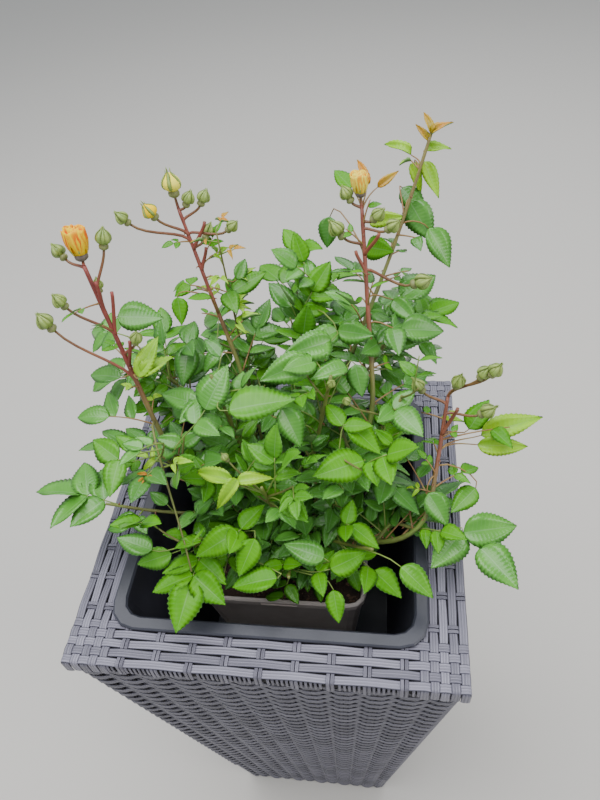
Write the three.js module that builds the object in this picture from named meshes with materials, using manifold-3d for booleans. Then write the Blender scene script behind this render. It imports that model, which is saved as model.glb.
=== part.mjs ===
// A rose bush in bud, growing in its nursery pot, which stands in the liner of a tall tapered
// planter woven from plastic strap. Millimetres, +Z up, origin at the middle of the planter's
// underside, +X to the right of the front and +Y towards the back.

import * as THREE from "three";
import Module from "manifold-3d";

const wasm = await Module();
wasm.setup();

const gap = 0.3; // left between pieces that touch

// Planter: square, wider at the top, with a flat woven border round its mouth
const planterTop = 370;
const planterFoot = 236;
const planterHeight = 680;
const borderWide = 42;
const borderDeep = 18;
const borderRound = 8;
const wallThick = 9;
const baseThick = 14;

// Liner: a plastic tub whose flange lies on the border
const flangeWide = 300;
const flangeThick = 3;
const linerMouth = 274;
const linerFloorWide = 232;
const linerDeep = 270;
const linerThick = 2.5;
const linerCorner = 18;

// Nursery pot, filled with compost
const potTop = 176;
const potFoot = 134;
const potHigh = 207;
const potThick = 2;
const potLip = 2.5;
const potLipDeep = 9;
const potCorner = 15;
const potForward = 3; // the pot stands this far behind the middle
const slotWide = 38;
const slotDeep = 4;
const compostBelowRim = 13;
const compostDip = 4; // at the pot's wall, below the middle
const crownRadius = 13;
const crownHigh = 34;
const crownSunk = 14;

// Growth
const goldenAngle = 137.5;
const twigRadius = 1.1;
const leafThick = 1.1;
const leafClearance = 1; // from a leaf to the border between two masses
const limbClearance = 1.6; // from a leaf to the bark of a limb
const crowding = 0.24; // room that a leaflet keeps round its midrib, as a share of its length
const tries = 14; // at each node, each turned further and smaller

const linerTop = planterHeight + gap + flangeThick;
const linerBottom = linerTop - linerDeep;
const potBottom = linerBottom + linerThick + gap;
const potRim = potBottom + potHigh;
const compostTop = potRim - compostBelowRim;
const crownTop = compostTop + crownHigh;

const colours = {
  weave: 0x6f7076,
  liner: 0x2a3038,
  pot: 0x6d6058,
  compost: 0x33261e,
  cane: 0x7a5a3a,
  foliage: 0x3f7a2c,
};

// Each shoot is a cane and the mass of leaves at its end. A place is [out, bearing, high]: out
// from the middle of the planter, at a bearing in degrees from +X towards +Y, at a height.
// leave and lift are the bearing and the rise of the cane where it starts. A bud is
// [along, bearing, out, rise, size], measured from its point along the mass's stem, and a
// reaching leaf is [along, out, bearing, high], with the last three the place of its tip.
const shoots = {
  left: {
    from: "crown", leave: 205, lift: 45, tip: [113, 177, 800], end: [165, 159, 942],
    thick: 3.4, nodes: 4, leafy: 0.55, leaf: 42, leaflet: 32, leaflets: 3,
    buds: [
      [1, 110, 9, 16, 25], [0.97, 150, 30, 6, 10], [0.8, 60, 24, 42, 11], [0.72, 110, 16, 12, 8],
      [0.55, 190, 34, 42, 10], [0.25, 172, 68, 62, 12], [0.42, 0, 16, 20, 9],
    ],
  },
  back_left: {
    from: "crown", leave: 140, lift: 52, tip: [104, 118, 815], end: [181, 121, 938],
    thick: 3.0, nodes: 4, leafy: 0.6, leaf: 40, leaflet: 28, leaflets: 3,
    buds: [
      [1, 120, 5, 18, 14], [0.98, 20, 9, 8, 10], [0.9, 30, 22, 16, 10], [0.75, 190, 56, 32, 10],
      [0.8, 200, 28, 30, 11], [0.8, 0, 42, 8, 9], [0.7, 60, 20, 6, 10],
    ],
  },
  back_right: {
    from: "crown", leave: 10, lift: 48, tip: [108, 30, 818], end: [168, 61, 942],
    thick: 3.2, nodes: 6, leafy: 0.9, leaf: 40, leaflet: 28, leaflets: 3,
    buds: [
      [1, 110, 5, 18, 19], [0.98, 150, 14, 8, 10], [0.75, 160, 24, 10, 12], [0.9, 350, 12, 6, 10],
      [0.85, 340, 26, 8, 10], [0.6, 350, 48, -6, 12],
    ],
  },
  young: {
    from: "crown", leave: 58, lift: 58, tip: [150, 50, 872], end: [242, 54, 985],
    thick: 2.6, nodes: 7, leafy: 1, leaf: 32, leaflet: 25, leaflets: 3, fade: 0.6,
    reaches: [[0.35, 208, 41, 908]],
  },
  right: {
    from: "crown", leave: 333, lift: 36, tip: [154, 349, 742], end: [168, 13, 808],
    thick: 3.0, nodes: 3, leafy: 0.6, leaf: 40, leaflet: 28, leaflets: 3,
    buds: [
      [0.9, 160, 26, 14, 10], [1, 340, 7, 20, 10], [1, 350, 27, 34, 10], [1, 345, 36, 42, 10],
      [0.8, 350, 34, 12, 11],
    ],
    reaches: [[0.55, 254, 6, 792]],
  },
  centre_right: {
    from: "crown", leave: 20, lift: 76, tip: [26, 10, 705], end: [62, 20, 850],
    thick: 3.0, nodes: 8, leafy: 1, leaf: 63, leaflet: 43, leaflets: 5,
  },
  centre_left: {
    from: "crown", leave: 170, lift: 70, tip: [28, 165, 705], end: [58, 155, 845],
    thick: 2.8, nodes: 8, leafy: 1, leaf: 63, leaflet: 43, leaflets: 5,
  },
  centre_low: {
    from: "right", at: 0.1, leave: 335, lift: 75, tip: [34, 340, 690], end: [74, 338, 798],
    thick: 2.6, nodes: 7, leafy: 1, leaf: 61, leaflet: 43, leaflets: 5,
  },
  front_left: {
    from: "crown", leave: 238, lift: 42, tip: [46, 234, 672], end: [118, 232, 742],
    thick: 2.9, nodes: 8, leafy: 1, leaf: 59, leaflet: 41, leaflets: 5,
    reaches: [[0.7, 172, 246, 722]],
  },
  centre_front: {
    from: "front_left", at: 0.4, leave: 290, lift: 75, tip: [26, 270, 690], end: [66, 272, 800],
    thick: 2.6, nodes: 8, leafy: 1, leaf: 61, leaflet: 43, leaflets: 5,
  },
  front: {
    from: "crown", leave: 290, lift: 40, tip: [48, 284, 660], end: [108, 282, 716],
    thick: 2.6, nodes: 6, leafy: 1, leaf: 55, leaflet: 39, leaflets: 5,
    reaches: [[0.6, 150, 295, 696]],
  },
  front_right: {
    from: "right", at: 0.18, leave: 312, lift: 40, tip: [62, 316, 685], end: [132, 318, 744],
    thick: 2.6, nodes: 8, leafy: 1, leaf: 59, leaflet: 41, leaflets: 5,
    reaches: [[0.6, 182, 329, 700]],
  },
  right_low: {
    from: "right", at: 0.5, leave: 332, lift: 15, tip: [126, 343, 706], end: [180, 340, 726],
    thick: 2.4, nodes: 5, leafy: 1, leaf: 53, leaflet: 39, leaflets: 5,
    reaches: [[0.5, 250, 339, 697], [0.2, 232, 348, 712]],
  },
  right_back: {
    from: "back_right", at: 0.25, leave: 350, lift: 35, tip: [76, 353, 708], end: [126, 15, 814],
    thick: 2.6, nodes: 8, leafy: 1, leaf: 61, leaflet: 41, leaflets: 5,
  },
  back_mid: {
    from: "back_right", at: 0.5, leave: 70, lift: 50, tip: [88, 44, 768], end: [150, 41, 838],
    thick: 2.4, nodes: 6, leafy: 1, leaf: 59, leaflet: 41, leaflets: 5,
  },
  back: {
    from: "young", at: 0.2, leave: 85, lift: 60, tip: [56, 80, 730], end: [138, 80, 845],
    thick: 2.6, nodes: 9, leafy: 1, leaf: 63, leaflet: 43, leaflets: 5,
  },
  back_low: {
    from: "back_left", at: 0.2, leave: 108, lift: 30, tip: [56, 116, 700], end: [126, 112, 792],
    thick: 2.4, nodes: 8, leafy: 1, leaf: 61, leaflet: 41, leaflets: 5,
  },
  left_back: {
    from: "back_left", at: 0.35, leave: 160, lift: 30, tip: [76, 150, 730], end: [142, 148, 806],
    thick: 2.4, nodes: 7, leafy: 1, leaf: 59, leaflet: 41, leaflets: 5,
  },
  left_mid: {
    from: "left", at: 0.25, leave: 195, lift: 60, tip: [60, 198, 712], end: [106, 194, 788],
    thick: 2.4, nodes: 6, leafy: 1, leaf: 57, leaflet: 39, leaflets: 5,
  },
  left_low: {
    from: "left", at: 0.4, leave: 200, lift: 20, tip: [100, 206, 718], end: [168, 200, 750],
    thick: 2.4, nodes: 7, leafy: 1, leaf: 53, leaflet: 39, leaflets: 5,
    reaches: [[0.75, 231, 191, 762], [0.5, 172, 214, 735]],
  },
};

const up = new THREE.Vector3(0, 0, 1);
const degrees = Math.PI / 180;

function vector(x, y, z) {
  return new THREE.Vector3(x, y, z);
}

// the point of a place that is given as out, bearing and high
function point([out, bearing, high]) {
  return vector(out * Math.cos(bearing * degrees), out * Math.sin(bearing * degrees), high);
}

function direction(bearing, lift) {
  const level = Math.cos(lift * degrees);
  return vector(
    level * Math.cos(bearing * degrees),
    level * Math.sin(bearing * degrees),
    Math.sin(lift * degrees),
  );
}

// from a, by a share of the way to b
function step(a, b, share) {
  return a.clone().addScaledVector(b, share);
}

// small seeded generator of numbers from 0 to 1
function seeded(seed) {
  let state = seed >>> 0;
  return () => {
    state = (state + 0x6d2b79f5) >>> 0;
    let mixed = Math.imul(state ^ (state >>> 15), state | 1);
    mixed ^= mixed + Math.imul(mixed ^ (mixed >>> 7), mixed | 61);
    return ((mixed ^ (mixed >>> 14)) >>> 0) / 4294967296;
  };
}

// Solids

function solid(points, faces) {
  const corners = new Float32Array(points.flatMap((p) => [p.x, p.y, p.z]));
  const triangles = new Uint32Array(faces.flat());
  return new wasm.Manifold(
    new wasm.Mesh({ numProp: 3, vertProperties: corners, triVerts: triangles }),
  );
}

// skins a row of rings that have the same number of points, and closes both ends
function loft(rings) {
  const count = rings[0].length;
  const faces = [];
  for (let r = 0; r + 1 < rings.length; r += 1) {
    for (let i = 0; i < count; i += 1) {
      const a = r * count + i;
      const b = r * count + ((i + 1) % count);
      faces.push([a, b, b + count], [a, b + count, a + count]);
    }
  }
  const last = (rings.length - 1) * count;
  for (let i = 1; i + 1 < count; i += 1) {
    faces.push([0, i + 1, i], [last, last + i, last + i + 1]);
  }
  return solid(rings.flat(), faces);
}

// a square ring with rounded corners, anticlockwise from above
function squareRing(half, corner, z, middle = 0) {
  const cornerSteps = 3;
  const ring = [];
  for (let quarter = 0; quarter < 4; quarter += 1) {
    for (let i = 0; i <= cornerSteps; i += 1) {
      const turn = (quarter + i / cornerSteps) * 90 * degrees;
      const sx = [1, -1, -1, 1][quarter];
      const sy = [1, 1, -1, -1][quarter];
      ring.push(vector(
        sx * (half - corner) + corner * Math.cos(turn),
        middle + sy * (half - corner) + corner * Math.sin(turn),
        z,
      ));
    }
  }
  return ring;
}

// a bar along one side of a square, mitred at both ends: its section is a list of
// [distance from the middle, height], and side counts the quarter turns from the front
function mitredBar(section, side) {
  const end = (sign) => section.map(([half, z]) => vector(sign * (half - gap / 2), -half, z));
  const bar = loft([end(1), end(-1)]);
  return bar.rotate([0, 0, side * 90]);
}

// a round limb along a curve, thinning from one radius to another
function limb(curve, radii, sides, steps) {
  const rings = [];
  const chord = curve.at(1).sub(curve.at(0)).normalize();
  const reference = Math.abs(chord.z) > 0.8 ? vector(1, 0, 0) : up;
  for (let i = 0; i <= steps; i += 1) {
    const t = i / steps;
    const across = curve.heading(t).cross(reference).normalize();
    const over = across.clone().cross(curve.heading(t));
    const radius = radii[0] + (radii[1] - radii[0]) * t;
    const ring = [];
    for (let k = 0; k < sides; k += 1) {
      const turn = (k / sides) * 2 * Math.PI;
      const rim = step(curve.at(t), across, radius * Math.cos(turn));
      ring.push(rim.addScaledVector(over, -radius * Math.sin(turn)));
    }
    rings.push(ring);
  }
  return loft(rings);
}

// Curves

// a smooth curve with two ends and two handles
function sweep(a, b, c, d) {
  return {
    at(t) {
      const s = 1 - t;
      return a.clone().multiplyScalar(s * s * s)
        .addScaledVector(b, 3 * s * s * t)
        .addScaledVector(c, 3 * s * t * t)
        .addScaledVector(d, t * t * t);
    },
    heading(t) {
      const s = 1 - t;
      return b.clone().sub(a).multiplyScalar(s * s)
        .addScaledVector(c.clone().sub(b), 2 * s * t)
        .addScaledVector(d.clone().sub(c), t * t)
        .normalize();
    },
  };
}

function samples(curve, count) {
  return Array.from({ length: count + 1 }, (_, i) => curve.at(i / count));
}

function distanceToPath(p, path) {
  let nearest = Infinity;
  for (let i = 0; i + 1 < path.length; i += 1) {
    const a = path[i];
    const span = path[i + 1].clone().sub(a);
    const share = Math.min(1, Math.max(0, p.clone().sub(a).dot(span) / span.lengthSq()));
    nearest = Math.min(nearest, p.distanceTo(step(a, span, share)));
  }
  return nearest;
}

// Limbs: the curve and thickness of every cane, and of the stem of every mass

const handle = 0.38; // of the cane's length, at each end
const limbs = {};

function startOf(shoot) {
  if (shoot.from === "crown") {
    const rootOut = shoot.lift > 70 ? 0 : crownRadius * 0.5;
    return point([rootOut, shoot.leave, compostTop + crownHigh * 0.55]);
  }
  return limbs[shoot.from].cane.at(shoot.at);
}

for (const [name, shoot] of Object.entries(shoots)) {
  if (shoot.from !== "crown" && !limbs[shoot.from]) {
    throw new Error(`${shoot.from} comes before ${name}`);
  }
  const start = startOf(shoot);
  const tip = point(shoot.tip);
  const end = point(shoot.end);
  const growth = end.clone().sub(tip).normalize().addScaledVector(up, -0.15).normalize();
  const reach = tip.distanceTo(start) * handle;
  const cane = sweep(
    start,
    step(start, direction(shoot.leave, shoot.lift), reach),
    step(tip, growth, -reach),
    tip,
  );
  const first = step(tip, growth, gap);
  const length = end.distanceTo(first);
  const lead = end.clone().sub(first).normalize().addScaledVector(up, 0.1).normalize();
  const stem = sweep(
    first,
    step(first, growth, length * 0.35),
    step(end, lead, -length * 0.3),
    end,
  );
  limbs[name] = { cane, stem, canePath: samples(cane, 8), stemPath: samples(stem, 5) };
}

const caneTaper = 0.72;
const stemTaper = 0.75;

// whether a point lies in the space of one mass, clear of limbs, planter and pot
function isFree(p, own) {
  const wide = Math.max(Math.abs(p.x), Math.abs(p.y - potForward));
  const floor = wide > linerMouth / 2 - 8 ? linerTop + 5 : potRim + 5;
  if (p.z < floor) {
    return false;
  }
  const home = distanceToPath(p, limbs[own].stemPath) + leafClearance;
  for (const [name, other] of Object.entries(limbs)) {
    if (name !== own && distanceToPath(p, other.stemPath) < home + leafClearance) {
      return false;
    }
    if (distanceToPath(p, other.canePath) < shoots[name].thick + limbClearance) {
      return false;
    }
  }
  return true;
}

// Leaves

const grown = []; // every stalk and leaflet so far

// the sideways and upward directions of a blade that points along heading
function bladeFrame(heading, roll) {
  const side = heading.clone().cross(up);
  if (side.length() < 0.2) {
    side.set(1, 0, 0);
  }
  side.normalize();
  const face = side.clone().cross(heading).normalize();
  const turned = side.clone().multiplyScalar(Math.cos(roll)).addScaledVector(face, Math.sin(roll));
  return { side: turned, face: turned.clone().cross(heading).normalize() };
}

// a rose leaf: a stalk that bows over, with a leaflet at its end and pairs along it
function compoundLeaf(root, first, length, droop, size, leaflets, roll) {
  const last = first.clone().addScaledVector(up, -droop).normalize();
  const knee = step(root, first, length * 0.5);
  const end = step(knee, last, length * 0.5);
  const stalk = sweep(root, step(root, first, length * 0.33), step(end, last, -length * 0.33), end);
  const blades = [{ ...blade(stalk.at(1), last, roll, size), sign: 0 }];
  const pairs = leaflets === 5 ? [[0.47, 0.78], [0.87, 0.88]] : [[0.74, 0.8]];
  pairs.forEach(([share, scale], pair) => {
    const heading = stalk.heading(share);
    const { side } = bladeFrame(heading, roll);
    for (const sign of [-1, 1]) {
      const outward = heading.clone().multiplyScalar(0.5).addScaledVector(side, 0.87 * sign);
      const half = blade(stalk.at(share), outward.normalize(), roll, size * scale);
      blades.push({ ...half, sign, pair });
    }
  });
  return {
    stalk,
    blades,
    length,
    roll,
    shares: pairs.map(([share]) => share),
    spots: [0.25, 0.5, 0.75, 1].map((share) => stalk.at(share)),
    radius: twigRadius,
  };
}

function blade(root, heading, roll, length) {
  const { side, face } = bladeFrame(heading, roll);
  const belly = step(root, heading, length * 0.42);
  const half = length * 0.32;
  return {
    root,
    face,
    length,
    belly,
    spots: [0.2, 0.5, 0.8].map((share) => step(root, heading, length * share)),
    radius: length * crowding,
    tip: step(step(root, heading, length), face, -length * 0.1),
    left: step(step(belly, side, -half), face, length * 0.06),
    right: step(step(belly, side, half), face, length * 0.06),
  };
}

// whether spots on a leaflet or stalk keep their distance from every leaf that has grown
function isApart(spots, radius) {
  return grown.every((other) => {
    const least = radius + other.radius;
    return spots.every((a) => other.spots.every((b) => a.distanceTo(b) > least));
  });
}

function bladeFits(leaf, own) {
  const rim = [leaf.tip, leaf.left, leaf.right, leaf.belly];
  for (const corner of [leaf.left, leaf.right]) {
    rim.push(corner.clone().add(leaf.tip).multiplyScalar(0.5));
    rim.push(corner.clone().add(leaf.root).multiplyScalar(0.5));
  }
  return rim.every((spot) => isFree(spot, own)) && isApart(leaf.spots, leaf.radius);
}

function stalkFits(leaf, own) {
  return leaf.spots.every((spot) => isFree(spot, own)) && isApart(leaf.spots, leaf.radius);
}

// drops the leaflets that don't fit, and notes the others
function keepFitting(leaf, own) {
  leaf.blades = leaf.blades.filter((each) => bladeFits(each, own));
  grown.push(leaf, ...leaf.blades);
}

// One leaf as one closed skin: a three-sided stalk whose walls open into the leaflets. Each
// leaflet has four edges, and is thickest along its middle.
function leafSolid(leaf) {
  const { stalk, blades, shares, length } = leaf;
  const rootHalf = 1.5 / length;
  const stops = [0, ...shares.flatMap((share) => [share - rootHalf, share + rootHalf]), 1];
  const points = [];
  const faces = [];
  const add = (p) => points.push(p) - 1;
  const rings = stops.map((t) => {
    const { side, face } = bladeFrame(stalk.heading(t), leaf.roll);
    const radius = twigRadius * (1 - 0.3 * t);
    const centre = stalk.at(t);
    return [
      add(step(step(centre, side, -radius), face, radius * 0.5)),
      add(step(centre, face, -radius)),
      add(step(step(centre, side, radius), face, radius * 0.5)),
    ];
  });
  const opening = (each, [p, q, r, s], low, high, under) => {
    const [e1, tip, e2] = [add(low), add(each.tip), add(high)];
    const top = add(step(each.belly, each.face, leafThick / 2));
    const below = add(step(each.belly, each.face, -leafThick / 2));
    const [x, y] = under ? [below, top] : [top, below];
    faces.push([p, q, e1], [r, s, e2]);
    faces.push([q, x, e1], [e1, x, tip], [tip, x, e2], [e2, x, r]);
    faces.push([p, e1, y], [y, e1, tip], [y, tip, e2], [y, e2, s], [s, p, y]);
    if (q !== r) {
      faces.push([q, r, x]);
    }
  };
  for (let i = 0; i + 1 < rings.length; i += 1) {
    const [tl, b, tr] = rings[i];
    const [tl2, b2, tr2] = rings[i + 1];
    const pair = blades.filter((each) => i % 2 === 1 && each.pair === (i - 1) / 2);
    const left = pair.find((each) => each.sign < 0);
    const right = pair.find((each) => each.sign > 0);
    faces.push([tr, tl, tl2], [tr, tl2, tr2]);
    if (left) {
      opening(left, [tl, b, b2, tl2], left.left, left.right, true);
    } else {
      faces.push([tl, b, b2], [tl, b2, tl2]);
    }
    if (right) {
      opening(right, [b, tr, tr2, b2], right.right, right.left, false);
    } else {
      faces.push([b, tr, tr2], [b, tr2, b2]);
    }
  }
  const [tl, b, tr] = rings[0];
  faces.push([tl, tr, b]);
  const [tl2, b2, tr2] = rings.at(-1);
  opening(blades[0], [tl2, b2, b2, tr2], blades[0].left, blades[0].right, true);
  return solid(points, faces.map(([p, q, r]) => [p, r, q])); // so that they face out
}

// a bud or opening bloom on its hip, pointing along heading
function budSolid(base, heading, size) {
  const bloom = size > 17;
  const profile = bloom
    ? [[0, 0], [0.26, 0.05], [0.22, 0.3], [0.5, 0.62], [0.44, 1.05], [0, 1.2]]
    : [[0, 0], [0.3, 0.12], [0.5, 0.72], [0, 1.6]];
  const sides = bloom ? 8 : 6;
  const { side, face } = bladeFrame(heading, 0);
  const points = [base.clone()];
  for (const [radius, along] of profile.slice(1, -1)) {
    for (let k = 0; k < sides; k += 1) {
      const turn = (k / sides) * 2 * Math.PI;
      const rim = step(base, heading, along * size);
      rim.addScaledVector(side, radius * size * Math.cos(turn));
      points.push(rim.addScaledVector(face, -radius * size * Math.sin(turn)));
    }
  }
  const summit = points.length;
  points.push(step(base, heading, profile.at(-1)[1] * size));
  const faces = [];
  for (let k = 0; k < sides; k += 1) {
    const next = (k + 1) % sides;
    faces.push([0, 1 + next, 1 + k]);
    faces.push([summit, summit - sides + k, summit - sides + next]);
    for (let r = 1; r < profile.length - 2; r += 1) {
      const low = 1 + (r - 1) * sides;
      faces.push([low + k, low + next, low + next + sides]);
      faces.push([low + k, low + next + sides, low + k + sides]);
    }
  }
  return solid(points, faces);
}

// Masses

// the leaves of one mass, by the seeded rule: golden-angle turns up the stem, a few tries each
function growLeaves(name) {
  const shoot = shoots[name];
  const { stem } = limbs[name];
  const random = seeded(Object.keys(shoots).indexOf(name) * 101 + 7);
  const leaves = [];
  const lowest = shoot.leaflets === 5 ? 0.28 : 0.08;
  for (const [along, ...place] of shoot.reaches ?? []) {
    const root = stem.at(along);
    const run = point(place).sub(root);
    const size = Math.min(shoot.leaflet * 1.15, run.length() * 0.5);
    const droop = 0.3;
    const first = run.clone().normalize().addScaledVector(up, droop / 2).normalize();
    const leaf = compoundLeaf(root, first, run.length() - size, droop, size, shoot.leaflets, 0);
    if (bladeFits(leaf.blades[0], name)) {
      keepFitting(leaf, name);
      leaves.push(leaf);
    }
  }
  for (let node = 0; node < shoot.nodes; node += 1) {
    const along = lowest + (shoot.leafy - 0.02 - lowest) * (node / (shoot.nodes - 1));
    const root = stem.at(along);
    const axis = stem.heading(along);
    const across = axis.clone().cross(vector(0.3, 0.1, 1)).normalize();
    const over = across.clone().cross(axis);
    for (let attempt = 0; attempt < tries; attempt += 1) {
      const shrink = (1 - 0.035 * attempt) * (1 - (shoot.fade ?? 0.15) * along);
      const turn = (node * goldenAngle + attempt * 47 + 50 * (random() - 0.5)) * degrees;
      const lift = (15 + 35 * random() + 15 * along + 2 * attempt) * degrees;
      const length = shoot.leaf * (0.75 + 0.4 * random()) * shrink;
      const size = Math.min(shoot.leaflet * (0.85 + 0.3 * random()) * shrink, length * 0.68);
      const droop = 0.25 + 0.5 * random();
      const roll = (random() - 0.5) * 0.9;
      const first = across.clone().multiplyScalar(Math.cos(turn) * Math.cos(lift))
        .addScaledVector(over, Math.sin(turn) * Math.cos(lift))
        .addScaledVector(axis, Math.sin(lift))
        .normalize();
      const leaf = compoundLeaf(root, first, length, droop, size, shoot.leaflets, roll);
      if (!stalkFits(leaf, name) || !bladeFits(leaf.blades[0], name)) {
        continue;
      }
      if (leaf.blades.filter((each) => bladeFits(each, name)).length >= shoot.leaflets - 2) {
        keepFitting(leaf, name);
        leaves.push(leaf);
        break;
      }
    }
  }
  return leaves;
}

function budStalk(name, [along, bearing, out, rise, size]) {
  const { stem } = limbs[name];
  const root = stem.at(along);
  const middle = root.clone().add(point([out, bearing, rise]));
  const heading = middle.clone().sub(root).normalize().addScaledVector(up, 0.7).normalize();
  const base = step(middle, heading, -size * 0.6);
  const span = base.distanceTo(root);
  const stalk = sweep(
    root,
    step(root, stem.heading(along), span * 0.25),
    step(base, heading, -span * 0.35),
    step(base, heading, size * 0.1),
  );
  return { stalk, base, heading, size, span };
}

function mass(name) {
  const shoot = shoots[name];
  const { stem } = limbs[name];
  const radius = shoot.thick * caneTaper;
  const parts = [limb(stem, [radius, radius * stemTaper], 5, 3)];
  for (const leaf of growLeaves(name)) {
    parts.push(leafSolid(leaf));
  }
  for (const row of shoot.buds ?? []) {
    const bud = budStalk(name, row);
    if (bud.span > 3) {
      parts.push(limb(bud.stalk, [twigRadius, twigRadius * 0.9], 3, 2));
    }
    parts.push(budSolid(bud.base, bud.heading, bud.size));
  }
  const fused = wasm.Manifold.union(parts).simplify(0.04);
  const pieces = fused.decompose().sort((a, b) => b.volume() - a.volume());
  return pieces[0];
}

// the bark of a cane, grown outwards by extra
function bark(name, extra) {
  const { thick } = shoots[name];
  return limb(limbs[name].cane, [thick + extra, thick * caneTaper + extra], 5, 5);
}

function cane(name) {
  const { from } = shoots[name];
  const carrier = from === "crown" ? crownSolid(gap) : bark(from, gap * 1.3);
  const pieces = bark(name, 0).subtract(carrier).decompose();
  return pieces.sort((a, b) => b.volume() - a.volume())[0];
}

// the short stock that the canes spring from, sunk in the compost
function crownSolid(extra) {
  const ring = (radius, z) => Array.from({ length: 10 }, (_, k) => {
    const turn = (k / 10) * 2 * Math.PI;
    return vector((radius + extra) * Math.cos(turn), (radius + extra) * Math.sin(turn), z);
  });
  return loft([
    ring(crownRadius * 0.85, compostTop - crownSunk - extra),
    ring(crownRadius * 0.95, compostTop),
    ring(crownRadius, compostTop + crownHigh * 0.5),
    ring(crownRadius * 0.75, crownTop + extra),
  ]);
}

// Planter, liner, pot and compost

// half the planter's width at a height
function wallHalf(z) {
  return (planterFoot + (planterTop - planterFoot) * (z / planterHeight)) / 2;
}

function wall(side) {
  const low = baseThick + gap;
  const high = planterHeight - borderDeep - gap;
  return mitredBar([
    [wallHalf(low) - wallThick, low],
    [wallHalf(low), low],
    [wallHalf(high), high],
    [wallHalf(high) - wallThick, high],
  ], side);
}

function border(side) {
  const half = planterTop / 2;
  const section = [
    [half - borderWide, planterHeight - borderDeep],
    [half - 2, planterHeight - borderDeep],
  ];
  for (let i = 0; i <= 3; i += 1) {
    const turn = (i / 3) * 90 * degrees;
    section.push([
      half - borderRound + borderRound * Math.cos(turn),
      planterHeight - borderRound + borderRound * Math.sin(turn),
    ]);
  }
  section.push([half - borderWide, planterHeight]);
  return mitredBar(section, side);
}

function base() {
  const foot = wallHalf(0);
  const top = wallHalf(baseThick);
  return loft([squareRing(foot, 6, 0), squareRing(top, 6, baseThick)]);
}

function liner() {
  const mouth = linerMouth / 2;
  const floor = linerFloorWide / 2;
  const inner = linerBottom + linerThick;
  return loft([
    squareRing(floor, linerCorner - 4, linerBottom),
    squareRing(mouth + linerThick, linerCorner + linerThick, linerTop - flangeThick),
    squareRing(flangeWide / 2, linerCorner + 8, linerTop - flangeThick),
    squareRing(flangeWide / 2, linerCorner + 8, linerTop - 1),
    squareRing(flangeWide / 2 - 1.5, linerCorner + 7, linerTop),
    squareRing(mouth + 2, linerCorner + 2, linerTop),
    squareRing(mouth, linerCorner, linerTop - 2),
    squareRing(floor - linerThick, linerCorner - 6, inner),
  ]);
}

function potRing(half, corner, z) {
  return squareRing(half, corner, z, potForward);
}

function pot() {
  const top = potTop / 2;
  const foot = potFoot / 2;
  const lipLow = potRim - potLipDeep;
  const shell = loft([
    potRing(foot, potCorner - 4, potBottom),
    potRing(top, potCorner, lipLow),
    potRing(top + potLip, potCorner + potLip, lipLow + 0.5),
    potRing(top + potLip, potCorner + potLip, potRim - 1.5),
    potRing(top + potLip - 1.5, potCorner + potLip - 1.5, potRim),
    potRing(top - potThick + 1, potCorner - 1, potRim),
    potRing(top - potThick, potCorner - 2, potRim - 1.5),
    potRing(foot - potThick, potCorner - 6, potBottom + potThick),
  ]);
  const front = potForward - top - potLip;
  const corners = [[-slotWide / 2, front - 2], [slotWide / 2, front - 2]];
  corners.push([slotWide / 2, front + 1.2], [-slotWide / 2, front + 1.2]);
  const notch = loft([lipLow + 2, lipLow + 2 + slotDeep].map(
    (z) => corners.map(([x, y]) => vector(x, y, z)),
  ));
  return shell.subtract(notch);
}

function compost() {
  const foot = potFoot / 2 - potThick - gap;
  const edge = compostTop - compostDip;
  const widening = (potTop - potFoot) / 2 / (potHigh - potThick);
  const top = foot + widening * (edge - potBottom - potThick);
  const fill = loft([
    potRing(foot, potCorner - 6, potBottom + potThick + gap),
    potRing(top, potCorner - 2, edge),
    potRing(top * 0.8, potCorner - 2, compostTop),
  ]);
  return fill.subtract(crownSolid(gap));
}

// Scene graph

function mesh(name, shape, colour, roughness) {
  const { vertProperties, triVerts } = shape.getMesh();
  const geometry = new THREE.BufferGeometry();
  geometry.setAttribute("position", new THREE.BufferAttribute(vertProperties, 3));
  geometry.setIndex(new THREE.BufferAttribute(triVerts, 1));
  geometry.computeVertexNormals();
  const material = new THREE.MeshStandardMaterial({ color: colour, roughness, metalness: 0 });
  const piece = new THREE.Mesh(geometry, material);
  piece.name = name;
  return piece;
}

const planter = new THREE.Group();
["front", "right", "back", "left"].forEach((name, side) => {
  planter.add(mesh(`planter_wall_${name}`, wall(side), colours.weave, 0.6));
  planter.add(mesh(`planter_border_${name}`, border(side), colours.weave, 0.6));
});
planter.add(mesh("planter_base", base(), colours.weave, 0.6));
planter.add(mesh("planter_liner", liner(), colours.liner, 0.4));

const rose = new THREE.Group();
rose.add(mesh("nursery_pot", pot(), colours.pot, 0.5));
rose.add(mesh("compost", compost(), colours.compost, 0.95));
rose.add(mesh("crown", crownSolid(0), colours.cane, 0.8));
for (const name of Object.keys(shoots)) {
  rose.add(mesh(`cane_${name}`, cane(name), colours.cane, 0.6));
  rose.add(mesh(`leaves_${name}`, mass(name), colours.foliage, 0.4));
}

const bush = new THREE.Group();
bush.add(planter, rose);

export default bush;
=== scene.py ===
# A rose bush in bud, in its nursery pot, which stands in the liner of a tall woven planter.
import math

import bpy
import numpy as np
from mathutils import Matrix, Vector


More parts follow.
